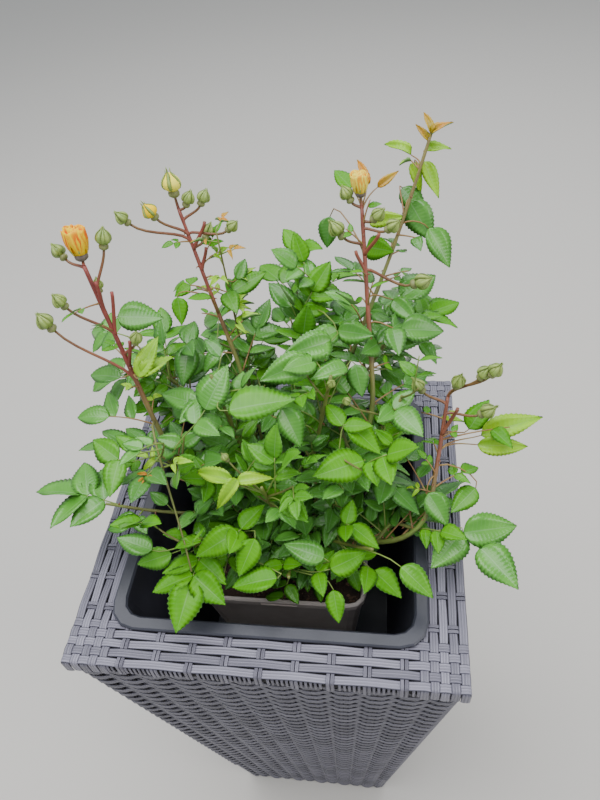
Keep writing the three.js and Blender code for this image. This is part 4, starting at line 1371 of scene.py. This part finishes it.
def makeStalks():
    skin, sides = Skin(), stemLook["stalkSides"]
    for name, leaves in grown.items():
        isRed = shoots[name]["leaflets"] == 3
        for _, leaf in leaves:
            radii = np.linspace(*stemLook["redStalk" if isRed else "greenStalk"], 6)
            addTube(skin, leaf["stalk"].samples(5), radii, sides, int(isRed))
    looks = [mottledMaterial(kind, *smallLooks[kind]) for kind in ("greenStalk", "redStalk")]
    skin.piece("leafStalks", "foliage", looks)


# Buds and blooms

# two tones of each part, and how rough it is
budLooks = {
    "hip": ((0.300, 0.340, 0.110), (0.200, 0.200, 0.080), 0.5),
    "sepal": ((0.370, 0.470, 0.110), (0.210, 0.320, 0.065), 0.42),
    "bloomHip": ((0.200, 0.160, 0.130), (0.120, 0.085, 0.075), 0.55),
    "petal": ((1.000, 0.680, 0.004), (0.860, 0.090, 0.004), 0.45),
    "palePetal": ((1.000, 0.880, 0.110), (0.960, 0.380, 0.020), 0.45),
}
# how much larger a shut bud is made than its row says
budGrow = 1.4
# which buds show colour: shoot and the bud's place in its list
opening = {("left", 0): "bloom", ("back_right", 0): "paleBloom", ("back_left", 0): "striped",
           ("back_left", 4): "small"}


def frameOf(heading):
    side, face = bladeFrame(heading, 0)
    return np.array([side, face, heading])


# a surface of revolution round a bud's axis, from along and radius in the bud's own size
def addTurned(skin, base, axes, size, profile, sides, look, ridge=0.0, turned=0.0):
    side, face, heading = axes
    points = [base + heading * profile[0][0] * size]
    for along, radius in profile[1:-1]:
        for k in range(sides):
            turn = 2 * math.pi * k / sides + turned
            out = face * math.sin(turn) - side * math.cos(turn)
            wide = radius * size * (1 + ridge * math.cos(5 * turn))
            points.append(base + heading * along * size + out * wide)
    points.append(base + heading * profile[-1][0] * size)
    skin.add(points, flipped(ringFaces(len(profile) - 2, sides)), look)


# a curved blade, closed, along a path, with its face turned away from an axis
def addBlade(skin, path, halves, outs, thick, look, cup=0.0):
    points = [path[0]]
    for i in range(1, len(path) - 1):
        ahead = unit(path[i + 1] - path[i - 1])
        out = unit(outs[i] - ahead * (outs[i] @ ahead))
        side = cross(ahead, out) * halves[i]
        edge, middle = path[i] - out * cup * halves[i], path[i]
        points += [edge - side, middle + out * thick / 2, edge + side, middle - out * thick / 2]
    points.append(path[-1])
    skin.add(points, flipped(ringFaces(len(path) - 2, 4)), look)


hipProfile = [(0, 0), (0.03, 0.16), (0.12, 0.27), (0.24, 0.29), (0.34, 0.24), (0.40, 0.22), (0.44, 0)]
bodyProfile = [(0.34, 0), (0.38, 0.24), (0.48, 0.37), (0.62, 0.44), (0.78, 0.43), (0.95, 0.34), (1.10, 0.20),
               (1.20, 0.08), (1.24, 0)]


def bodyRadius(along):
    return float(np.interp(along, *zip(*bodyProfile)))


# five sepals that lie on a bud's body, as wide as a share of its size, and spread and tailed by shares
def addSepals(skin, base, axes, size, spread, tail, wide, random):
    for k in range(5):
        turn = 2 * math.pi * k / 5 + 0.3 * random()
        out = axes[0] * math.cos(turn) + axes[1] * math.sin(turn)
        reach = 0.88 + tail * (0.7 + 0.6 * random())
        path, halves, outs = [], [], []
        for i in range(10):
            t = i / 9
            along = 0.38 + reach * t * (1 - 0.25 * spread)
            lifted = 0.02 + spread * 0.5 * t ** 1.5 + 0.05 * tail * t ** 3
            far = max(bodyRadius(along), 0.05) * 1.03 + lifted
            path.append(base + (axes[2] * along + out * far) * size)
            swell = (0.55 + 0.9 * t if t < 0.5 else 1) * (0.9 if t < 0.7 else 0.5)
            halves.append(size * wide * (1 - t) ** 0.7 * swell)
            outs.append(out + axes[2] * (0.3 + t * 0.4))
        addBlade(skin, path, halves, outs, size * 0.035, 1, 0.3)


# one petal as a closed shell wrapped part of the way round a cup
def addPetal(skin, base, axes, angle, cup, look, random):
    rows, cols = 8, 9
    inner, outer, uv, blush = [], [], [], []
    leanOut = cup["lip"] * (0.4 + 1.2 * random())
    strength = 0.45 + 0.9 * random()
    for i in range(rows):
        t = i / (rows - 1)
        opened = 0.6 + 0.4 * math.sin(min(t * 2.4, math.pi / 2)) - 0.12 * t ** 3
        spanned = cup["span"] * (0.5 + 0.5 * math.sin(min(t * 1.9, math.pi / 2)))
        for j in range(cols):
            u = 2 * j / (cols - 1) - 1
            rise = cup["high"] * (t - cup["point"] * abs(u) ** 1.7 * t * t)
            reach = cup["radius"] * (opened + 0.02 * math.sin(6 * u + angle * 3) * t)
            reach += leanOut * t ** 5 + cup["curl"] * u * u * t * t * (1 + math.sin(angle * 7))
            turn = angle + spanned * u
            out = axes[0] * math.cos(turn) + axes[1] * math.sin(turn)
            outer.append(base + out * reach + axes[2] * rise)
            isRim = i == rows - 1 or j in (0, cols - 1)
            inside, below = (0.05, 0) if isRim else (0.45, 0.05)
            inner.append(base + out * (reach - inside) + axes[2] * (rise - below))
            uv.append((j / (cols - 1) * 0.3 + angle, t))
            middle = 0.2 + 0.8 * math.exp(-(u / 0.45) ** 2)
            blush.append(strength * middle * (0.3 + 0.7 * math.sin(math.pi * t)))
    count, faces = rows * cols, []
    for i in range(rows - 1):
        for j in range(cols - 1):
            a = i * cols + j
            faces.append((a, a + 1, a + cols + 1, a + cols))
            faces.append((count + a + cols, count + a + cols + 1, count + a + 1, count + a))
    foot, top = list(range(cols)), list(range(count - 2, count - cols - 1, -1))
    right, left = range(2 * cols - 1, count, cols), range(count - 2 * cols, 0, -cols)
    edge = [*foot, *right, *top, *left]
    faces += [(b, a, count + a, count + b) for a, b in zip(edge, edge[1:] + edge[:1])]
    skin.add(outer + inner, faces, look, uv * 2, np.array(blush * 2))


# a shut bud: its hip, its body and the sepals over it
def addShutBud(skin, base, axes, size, tail, turned, random, slim=0.99):
    addTurned(skin, base, axes, size, hipProfile, 10, 0)
    addTurned(skin, base, axes, size * slim, bodyProfile, 15, 1, 0.07, turned)
    addSepals(skin, base, axes, size, 0.0, tail, 0.36, random)


def makeBuds():
    greens, petals, random = Skin(), Skin(), seeded(1234)
    for name in flowering:
        for index, row in enumerate(shoots[name]["buds"]):
            _, base, heading, _ = budPlace(name, row)
            axes, state, size = frameOf(heading), opening.get((name, index), "shut"), row[4] * budGrow
            if state in ("bloom", "paleBloom"):
                addBloom(greens, petals, base, axes, row[4], state, random)
            elif state == "shut":
                addShutBud(greens, base, axes, size, 0.22 if name == "right" else 0.12, random(), random)
            else:
                swollen = [(along, radius * 1.08) for along, radius in bodyProfile]
                addTurned(greens, base, axes, size, hipProfile, 10, 0)
                addTurned(petals, base, axes, size, swollen, 12, 0 if state == "small" else 1, 0.05, random())
                addSepals(greens, base, axes, size, 0.12, 0.25, 0.2, random)
    for base, heading, size in sprigBuds:
        addShutBud(greens, base, frameOf(heading), size, 0.15, 0.0, random, 1)
    looks = [mottledMaterial(kind, *budLooks[kind], 260.0, 1800.0, 0.0001)
             for kind in ("hip", "sepal", "bloomHip")]
    greens.piece("budGreens", "foliage", looks)
    petals.piece("petals", "foliage", [petalMaterial("petal"), petalMaterial("palePetal")], (), "blush")


# each ring of petals, outermost first: count, and shares of the bloom's size, its span and its point
petalRings = (
    (5, {"radius": 0.43, "high": 0.92, "lip": 0.02, "curl": 0.02}, 0.80, 0.12),
    (4, {"radius": 0.37, "high": 1.0, "lip": -0.01, "curl": 0.01}, 0.95, 0.12),
    (4, {"radius": 0.28, "high": 1.02, "lip": -0.04, "curl": 0.01}, 0.95, 0.16),
    (3, {"radius": 0.17, "high": 0.98, "lip": -0.04, "curl": 0.0}, 1.2, 0.12),
)


def addBloom(greens, petals, base, axes, size, state, random):
    addTurned(greens, base, axes, size * 0.85, hipProfile, 12, 2)
    addSepals(greens, base, axes, size * 0.6, 0.85, 0.3, 0.24, random)
    floor = base + axes[2] * size * 0.26
    for ring, (count, shares, span, tip) in enumerate(petalRings):
        for k in range(count):
            angle = 2 * math.pi * (k + 0.37 * ring) / count + 0.25 * random()
            cup = {what: size * share for what, share in shares.items()}
            cup.update(span=span, point=tip, high=cup["high"] * (0.92 + 0.12 * random()))
            addPetal(petals, floor, axes, angle, cup, 0 if state == "bloom" else 1, random)


# petals with flames of the blush that rise from the foot, most of all down the middle
def petalMaterial(kind):
    pale, blush, roughness = budLooks[kind]
    made = newMaterial(kind, pale, roughness, specular=0.12)
    tree = made.node_tree
    uv = place(tree, "ShaderNodeUVMap", {"uv_map": "blade"})
    across, along = place(tree, "ShaderNodeSeparateXYZ", Vector=uv.outputs[0]).outputs[:2]
    drawn = place(tree, "ShaderNodeCombineXYZ", X=maths(tree, "MULTIPLY", across, 30.0),
                  Y=maths(tree, "MULTIPLY", along, 1.6), Z=0.0)
    flames = place(tree, "ShaderNodeTexNoise", Vector=drawn.outputs[0], Scale=1.0, Detail=2.0)
    sharp = place(tree, "ShaderNodeClamp", Value=maths(tree, "MULTIPLY_ADD", flames.outputs[0], 9.0, -3.9))
    strong = maths(tree, "MULTIPLY", attribute(tree, "blush"), 2.2)
    flamed = maths(tree, "MULTIPLY", strong, sharp.outputs[0])
    share = place(tree, "ShaderNodeClamp", Value=flamed, Max=0.92).outputs[0]
    paint(made, mixColour(tree, share, pale, blush))
    addBump(made, addMottle(tree, 140.0, 900.0, 2.5)["Grain"], 0.4, 0.0002)
    return made


# The planter: straps woven round stakes, one tree of nodes for all of them

weave = {
    "rowPitch": 8.5, "lowestRow": 6.1, "rows": 78, "stakes": 12, "inset": 2.7, "wave": 2.9, "cornerRound": 7,
    "strapWide": 8.1, "strapThick": 1.25, "stakeThick": 3.3, "pairOffset": 1.9, "stakeLow": 2.0,
    "borderRows": (180.1, 171.4, 162.7, 154.0, 145.3), "borderWave": 0.95, "borderHigh": 678.35,
    "borderStakes": tuple(range(-128, 129, 32)), "borderStake": (3.6, 1.35), "wrap": (3.0, 1.8),
    "wrapPitch": 4.2, "wrapsFrom": 4.6, "seed": 12,
    # out from the middle and down from the top, where a strand bends over the rim
    "overEdge": ((182.9, 0.35), (183.7, 1.6), (184.0, 4.0), (184.1, 9.0), (184.15, 17.0)),
    # out from the middle and high, round the border's lower edge
    "wrapPath": ((182.4, 675.6), (183.4, 674.0), (183.5, 668.5), (183.4, 663.8), (182.4, 662.3)),
    "wallShadeBacking": {"low": 3.0, "top": 661.0, "inset": 3.4, "thick": 3},
    "borderShadeBacking": ((181.6, 662.5), (181.6, 676.0), (143.2, 676.0), (143.2, 662.5)),
}


# stores a number on a geometry under a name
def stored(tree, geometry, name, value, domain="POINT"):
    settings = {"data_type": "FLOAT", "domain": domain}
    return place(tree, "GeometryNodeStoreNamedAttribute", settings, Geometry=geometry, Name=name,
                 Value=value).outputs[0]


# ends a tree with its instances made real and its material set
def closeTree(tree, geometry, look, out):
    whole = place(tree, "GeometryNodeRealizeInstances", Geometry=geometry)
    painted = place(tree, "GeometryNodeSetMaterial", Geometry=whole.outputs[0], Material=look)
    tree.links.new(painted.outputs[0], out.inputs[0])
    return tree


# straps swept along paths, each with a tone of its own and with how far along and across it a point is
def makeStrapTree():
    tree, given, out = socketGroup(
        "strapsAlongPaths", "GeometryNodeTree",
        {"Paths": ("Geometry", None), "Level Size": ("Float", 0.0079), "Upright Size": ("Float", 0.0013),
         "Sides": ("Int", 8), "Hold Level": ("Bool", True), "Seed": ("Int", 5), "Look": ("Material", None)},
        {"Straps": "Geometry"},
    )
    paths, level, upright, sides, hold, seed, look = given.outputs[:7]
    curve = place(tree, "GeometryNodeMeshToCurve", i0=paths).outputs[0]
    free = place(tree, "GeometryNodeSetCurveNormal", {"mode": "MINIMUM_TWIST"}, i0=curve)
    held = place(tree, "GeometryNodeSetCurveNormal", {"mode": "Z_UP"}, i0=curve)
    turned = place(tree, "GeometryNodeSwitch", {"input_type": "GEOMETRY"},
                   i0=hold, i1=free.outputs[0], i2=held.outputs[0])
    owner = tree.nodes.new("GeometryNodeCurveOfPoint").outputs["Curve Index"]
    tone = place(tree, "FunctionNodeRandomValue", {"data_type": "FLOAT"}, ID=owner, Seed=seed)
    length = tree.nodes.new("GeometryNodeSplineParameter").outputs["Length"]
    marked = stored(tree, turned.outputs[0], "along", length)
    toned = stored(tree, marked, "tone", tone.outputs[1])
    circle = place(tree, "GeometryNodeCurvePrimitiveCircle", {"mode": "RADIUS"}, Resolution=sides, Radius=0.5)
    spot = tree.nodes.new("GeometryNodeInputPosition")
    x, y = place(tree, "ShaderNodeSeparateXYZ", Vector=spot.outputs[0]).outputs[:2]
    isWide = maths(tree, "GREATER_THAN", level, upright)
    across = maths(tree, "MULTIPLY_ADD", isWide, maths(tree, "SUBTRACT", x, y), y)
    size = place(tree, "ShaderNodeCombineXYZ", X=level, Y=upright, Z=1.0)
    profile = place(tree, "GeometryNodeTransform", Scale=size.outputs[0],
                    Geometry=stored(tree, circle.outputs[0], "across", across))
    swept = place(tree, "GeometryNodeCurveToMesh", Curve=toned, Profile_Curve=profile.outputs[0],
                  Fill_Caps=True)
    smooth = place(tree, "GeometryNodeSetShadeSmooth", Geometry=swept.outputs[0])
    return closeTree(tree, smooth.outputs[0], look, out)


# runs a tree on a mesh and gives back the plain mesh that it makes
def grownMesh(name, tree, source, settings):
    carrier = newObject(f"{name}Source", source)
    modifier = carrier.modifiers.new(name, "NODES")
    modifier.node_group = tree
    for item in tree.interface.items_tree:
        if item.in_out == "INPUT" and item.name in settings:
            modifier[item.identifier] = settings[item.name]
    graph = bpy.context.evaluated_depsgraph_get()
    made = bpy.data.meshes.new_from_object(carrier.evaluated_get(graph), preserve_all_data_layers=True,
                                           depsgraph=graph)
    carrier.modifiers.clear()
    bpy.data.objects.remove(carrier)
    made.name = name
    return made


def pathMesh(name, paths, closed=False):
    points, edges = [], []
    for path in paths:
        first, count = len(points), len(path)
        points += [tuple(c * mm for c in spot) for spot in path]
        edges += [(first + i, first + i + 1) for i in range(count - 1)]
        if closed:
            edges.append((first + count - 1, first))
    mesh = bpy.data.meshes.new(f"{name}Paths")
    mesh.from_pydata(points, edges, [])
    return mesh


def makeStraps(name, paths, level, upright, sides, isClosed, tree, look, nodes):
    settings = {"Level Size": level * mm, "Upright Size": upright * mm, "Sides": sides,
                "Hold Level": isClosed, "Seed": weave["seed"], "Look": look}
    mesh = grownMesh(name, tree, pathMesh(name, paths, isClosed), settings)
    finished(name, mesh, nodes)


def wallHalf(z):
    return (planter["foot"] + (planter["top"] - planter["foot"]) * z / planter["height"]) / 2


# a spot on one of the four sides: along the side, out from the middle, high
def onSide(side, along, out, high):
    x, y = ((along, -out), (out, along), (-along, out), (-out, -along))[side]
    return (x, y, high)


# one strap round the four walls, in front of a stake and behind the next
def wallLoop(row):
    high = weave["lowestRow"] + row * weave["rowPitch"]
    half, bend = wallHalf(high) - weave["inset"], weave["cornerRound"]
    path, steps = [], weave["stakes"] * 3
    for side in range(4):
        for step in range(1, steps):
            along = half * (2 * step / steps - 1)
            if abs(along) < half - bend:
                phase = step / 3 - 0.5 + row
                path.append(onSide(side, along, half + weave["wave"] * math.cos(math.pi * phase), high))
        for turn in (22.5, 45, 67.5):
            t, middle = math.radians(turn), half - bend
            path.append(onSide(side, middle + bend * math.sin(t), middle + bend * math.cos(t), high))
    return path


# the pairs of stakes that the wall's straps are woven round
def wallStakes():
    low, top = weave["stakeLow"], weave["lowestRow"] + weave["rows"] * weave["rowPitch"] - 5
    paths = []
    for side in range(4):
        for k in range(weave["stakes"]):
            share = (2 * k + 1) / weave["stakes"] - 1
            for offset in (-weave["pairOffset"], weave["pairOffset"]):
                path = []
                for i in range(5):
                    high = low + (top - low) * i / 4
                    half = wallHalf(high) - weave["inset"]
                    path.append(onSide(side, half * share + offset * (0.75 + 0.25 * i / 4), half, high))
                paths.append(path)
    return paths


# places along a border strap where something crosses it, and whether the strap is on top there
def crossings(side, row):
    corner = weave["borderRows"]
    places = [-c for c in corner] + list(weave["borderStakes"]) + list(reversed(corner))
    return [(spot, 1 if (row + i + side) % 2 == 0 else -1) for i, spot in enumerate(places)]


def borderStrap(side, row):
    marks, out = crossings(side, row), weave["borderRows"][row]
    high, wave = weave["borderHigh"], weave["borderWave"]
    first, last = (high + wave * marks[end][1] for end in (0, -1))
    path = [onSide(side, -over, out, first - down) for over, down in reversed(weave["overEdge"])]
    for (a, rise), (b, then) in zip(marks, marks[1:]):
        steps = 2 if b - a < 12 else 6
        for share in (i / steps for i in range(steps)):
            blend = (1 + math.cos(math.pi * share)) / 2
            bent = high + wave * (rise * blend + then * (1 - blend))
            path.append(onSide(side, a + (b - a) * share, out, bent))
    path.append(onSide(side, marks[-1][0], out, last))
    return path + [onSide(side, over, out, last - down) for over, down in weave["overEdge"]]


def borderStakes():
    paths, high, wave, rows = [], weave["borderHigh"], weave["borderWave"], weave["borderRows"]
    for side in range(4):
        for j, along in enumerate(weave["borderStakes"]):
            for offset in (-weave["pairOffset"], weave["pairOffset"]):
                shifted = along + offset
                path = [onSide(side, shifted, rows[-1] - 4.5, high)]
                for row in range(len(rows) - 1, -1, -1):
                    z = high + wave * (-1 if (row + j + len(rows) + side) % 2 == 0 else 1)
                    path.append(onSide(side, shifted, rows[row], z))
                    if row:
                        path.append(onSide(side, shifted, (rows[row] + rows[row - 1]) / 2, high))
                paths.append(path + [onSide(side, shifted, out, z - down) for out, down in weave["overEdge"]])
    return paths


# short strands round the border's outer edge, other than where a stake bends over it
def borderWraps():
    paths, reach = [], weave["borderRows"][-1] - 5
    count = int(2 * reach / weave["wrapPitch"])
    for side in range(4):
        for along in (reach * (2 * i / count - 1) for i in range(count + 1)):
            if min(abs(along - stake) for stake in weave["borderStakes"]) > weave["wrapsFrom"]:
                paths.append([onSide(side, along, out, high) for out, high in weave["wrapPath"]])
    return paths


# a closed band round the four sides, from rings of half width and height, first ring to last and back
def fourSidedShell(name, rings, look, nodes):
    skin, points, faces = Skin(), [], []
    for half, high in rings:
        points += [(-half, -half, high), (half, -half, high), (half, half, high), (-half, half, high)]
    count = len(rings)
    for i in range(count):
        for k in range(4):
            a, b, n = 4 * i, 4 * ((i + 1) % count), (k + 1) % 4
            faces.append((a + k, a + n, b + n, b + k))
    skin.add(points, faces)
    mesh = skin.piece(name, "weave", [look], nodes).data
    mesh.polygons.foreach_set("use_smooth", [False] * len(mesh.polygons))


def makeWeave():
    tree, rows = makeStrapTree(), weave["rows"]
    looks, nodes = {}, {}
    for part in ("wall", "border"):
        # the wall's strands and stakes take a darker copy of the border's strand: painted shade
        looks[part] = strandMaterial(f"{part}Strand", weaveLook[f"{part}Shade"])
        nodes[part] = [f"planter_{part}_{side}" for side in ("front", "right", "back", "left")]
    wide, thick, stake = weave["strapWide"], weave["strapThick"], weave["stakeThick"]
    loops = [wallLoop(row) for row in range(rows)]
    straps = [borderStrap(side, row) for side in range(4) for row in range(len(weave["borderRows"]))]
    # part of the planter, piece, paths, level and upright size, sides, and whether the paths are closed
    for part, name, paths, level, upright, sides, isClosed in (
        ("wall", "wallStrapsLow", loops[:rows // 2], thick, wide, 8, True),
        ("wall", "wallStrapsHigh", loops[rows // 2:], thick, wide, 8, True),
        ("wall", "wallStakes", wallStakes(), stake, stake, 6, False),
        ("border", "borderStraps", straps, wide, thick, 10, False),
        ("border", "borderStakes", borderStakes(), *weave["borderStake"], 8, False),
        ("border", "borderWraps", borderWraps(), *weave["wrap"], 6, False),
    ):
        makeStraps(name, paths, level, upright, sides, isClosed, tree, looks[part], nodes[part])
    # a near-black sheet just inside the wall's weave and one under the border: painted shade, seen through
    # the gaps between the straps
    tone, plan = weaveLook["shadeBacking"], weave["wallShadeBacking"]
    shadeBacking = mottledMaterial("weaveShadeBacking", tone, shaded(tone, 0.6), 0.8, 60.0, 900.0, 0.0)
    outer, inner = ([(wallHalf(plan[end]) - weave["inset"] - deep, plan[end]) for end in ("low", "top")]
                    for deep in (plan["inset"], plan["inset"] + plan["thick"]))
    fourSidedShell("wallShadeBacking", outer + inner[::-1], shadeBacking, nodes["wall"])
    fourSidedShell("borderShadeBacking", weave["borderShadeBacking"], shadeBacking, nodes["border"])


# The plate that closes the foot of the weave, on four low pads
foot = {
    "half": 110.0, "round": 12.0, "low": 3.0, "high": 14.0, "bevel": 1.5,
    "padHalf": 15.0, "padRound": 6.0, "padBevel": 1.0, "padIn": 24.0,
}


# a closed block with rounded corners and edges, from its middle, half width and heights
def roundedBlock(skin, middle, half, bend, low, high, bevel):
    rings = [(half - bevel, low), (half, low + bevel), (half, high - bevel), (half - bevel, high)]
    points, faces, count = [], [], 24
    for wide, z in rings:
        for k in range(count):
            turn = 2 * math.pi * (k + 0.5) / count
            x, y = math.cos(turn), math.sin(turn)
            points.append((middle[0] + math.copysign(wide - bend, x) + bend * x,
                           middle[1] + math.copysign(wide - bend, y) + bend * y, z))
    for i in range(3):
        for k in range(count):
            a, n = i * count, (k + 1) % count
            faces.append((a + k, a + n, a + count + n, a + count + k))
    faces.append(tuple(range(count))[::-1])
    faces.append(tuple(3 * count + k for k in range(count)))
    skin.add(points, faces)


def makeFoot():
    skin = Skin()
    roundedBlock(skin, (0, 0), foot["half"], foot["round"], foot["low"], foot["high"], foot["bevel"])
    reach, top = foot["half"] - foot["padIn"], foot["low"] + 1
    for x in (-reach, reach):
        for y in (-reach, reach):
            roundedBlock(skin, (x, y), foot["padHalf"], foot["padRound"], 0.0, top, foot["padBevel"])
    skin.piece("footPlate", "weave", [mottledMaterial(*plastics["planter_base"])], ["planter_base"])


# The liner, the pot and the compost keep their shapes and take their looks

# material, its two tones, roughness, size of the patches and of the specks, and relief
plastics = {
    "planter_liner": ("linerPlastic", (0.047, 0.048, 0.065), (0.029, 0.030, 0.042), 0.4, 26.0, 700.0,
                      0.00012),
    "nursery_pot": ("potPlastic", (0.640, 0.560, 0.530), (0.500, 0.430, 0.400), 0.38, 30.0, 800.0, 0.0001),
    "planter_base": ("basePlastic", (0.030, 0.030, 0.034), (0.016, 0.016, 0.018), 0.6, 30.0, 700.0, 0.0002),
    "compost": ("compost", (0.060, 0.034, 0.022), (0.020, 0.011, 0.008), 0.9, 110.0, 700.0, 0.003),
}
chips = {
    "count": 900, "size": 0.0046, "flat": 0.45, "seed": 31, "reach": 82, "sink": 0.5, "fromCrown": 6,
    # dark and pale, each from a deep to a light tone
    "dark": ((0.030, 0.017, 0.012), (0.115, 0.055, 0.032)),
    "pale": ((0.085, 0.044, 0.028), (0.230, 0.130, 0.080)),
}


def dressSolids():
    for node in ("planter_liner", "nursery_pot", "compost"):
        look = mottledMaterial(*plastics[node])
        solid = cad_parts[node]
        for held in (solid if isinstance(solid, (list, tuple)) else [solid]):
            held.data.materials.clear()
            held.data.materials.append(look)


def makeChipTree():
    tree, given, out = socketGroup(
        "chipsOnCompost", "GeometryNodeTree",
        {"Ground": ("Geometry", None), "Density": ("Float", 30000.0), "Size": ("Float", 0.005),
         "Flatness": ("Float", 0.45), "Seed": ("Int", 3), "Look": ("Material", None)},
        {"Chips": "Geometry"},
    )
    ground, density, size, flatness, seed, look = given.outputs[:6]

    # a random vector between a lowest and a highest
    def luck(low, high, own):
        return place(tree, "FunctionNodeRandomValue", {"data_type": "FLOAT_VECTOR"}, i0=low, i1=high,
                     Seed=own).outputs[0]

    spots = place(tree, "GeometryNodeDistributePointsOnFaces", {"distribute_method": "RANDOM"},
                  Mesh=ground, Density=density, Seed=seed)
    block = place(tree, "GeometryNodeMeshIcoSphere", Radius=0.5, Subdivisions=1)
    chipped = place(tree, "GeometryNodeSetPosition", Geometry=block.outputs[0],
                    Offset=luck((-0.16, -0.16, -0.16), (0.16, 0.16, 0.16), 4))
    shape = place(tree, "ShaderNodeCombineXYZ", X=1.0, Y=0.7, Z=flatness)
    chip = place(tree, "GeometryNodeTransform", Geometry=chipped.outputs[0], Scale=shape.outputs[0])
    grade = place(tree, "FunctionNodeRandomValue", {"data_type": "FLOAT"}, i2=0.45, i3=1.5, Seed=14)
    laid = place(tree, "GeometryNodeInstanceOnPoints", Points=spots.outputs[0], Instance=chip.outputs[0],
                 Rotation=luck((-0.6, -0.6, 0.0), (0.6, 0.6, 6.28), 9),
                 Scale=maths(tree, "MULTIPLY", grade.outputs[1], size))
    tone = place(tree, "FunctionNodeRandomValue", {"data_type": "FLOAT"}, Seed=22)
    toned = stored(tree, laid.outputs[0], "tone", tone.outputs[1], "INSTANCE")
    return closeTree(tree, toned, look, out)


# the top of the compost as a grid of squares, other than round the crown
def compostGround():
    half, steps, points, faces = chips["reach"], 24, [], []
    places = [half * (2 * i / steps - 1) for i in range(steps + 1)]
    for i, x in enumerate(places):
        for j, y in enumerate(places):
            edge = max(abs(x), abs(y)) / half
            drop = max(0.0, edge - 0.8) * 5 * pot["compostDip"]
            points.append((x * mm, (y + pot["forward"]) * mm, (compostTop - drop - chips["sink"]) * mm))
            if i < steps and j < steps and math.hypot(x, y) > crown["radius"] + chips["fromCrown"]:
                a, b = i * (steps + 1) + j, (i + 1) * (steps + 1) + j
                faces.append((a, b, b + 1, a + 1))
    mesh = bpy.data.meshes.new("compostGround")
    mesh.from_pydata(points, [], faces)
    return mesh


def makeChips():
    look = newMaterial("barkChips", (0.16, 0.085, 0.05), 0.85)
    tree = look.node_tree
    patches = addMottle(tree, 260.0, 1500.0, 2.0)
    dark, pale = (mixColour(tree, attribute(tree, "tone"), *chips[part]) for part in ("dark", "pale"))
    paint(look, mixColour(tree, patches["Mask"], dark, pale))
    addBump(look, patches["Grain"], 0.6, 0.0006)
    settings = {"Density": chips["count"] / (2 * chips["reach"] * mm) ** 2, "Size": chips["size"],
                "Flatness": chips["flat"], "Seed": chips["seed"], "Look": look}
    finished("barkChips", grownMesh("barkChips", makeChipTree(), compostGround(), settings))


# Run

for stage in (makeCamera, makeLight, makeFloor, dressSolids, makeWeave, makeFoot, makeChips, makeLeaves,
              makeStems, makeStalks, makeBuds):
    stage()
    print(f"{stage.__name__}: done")
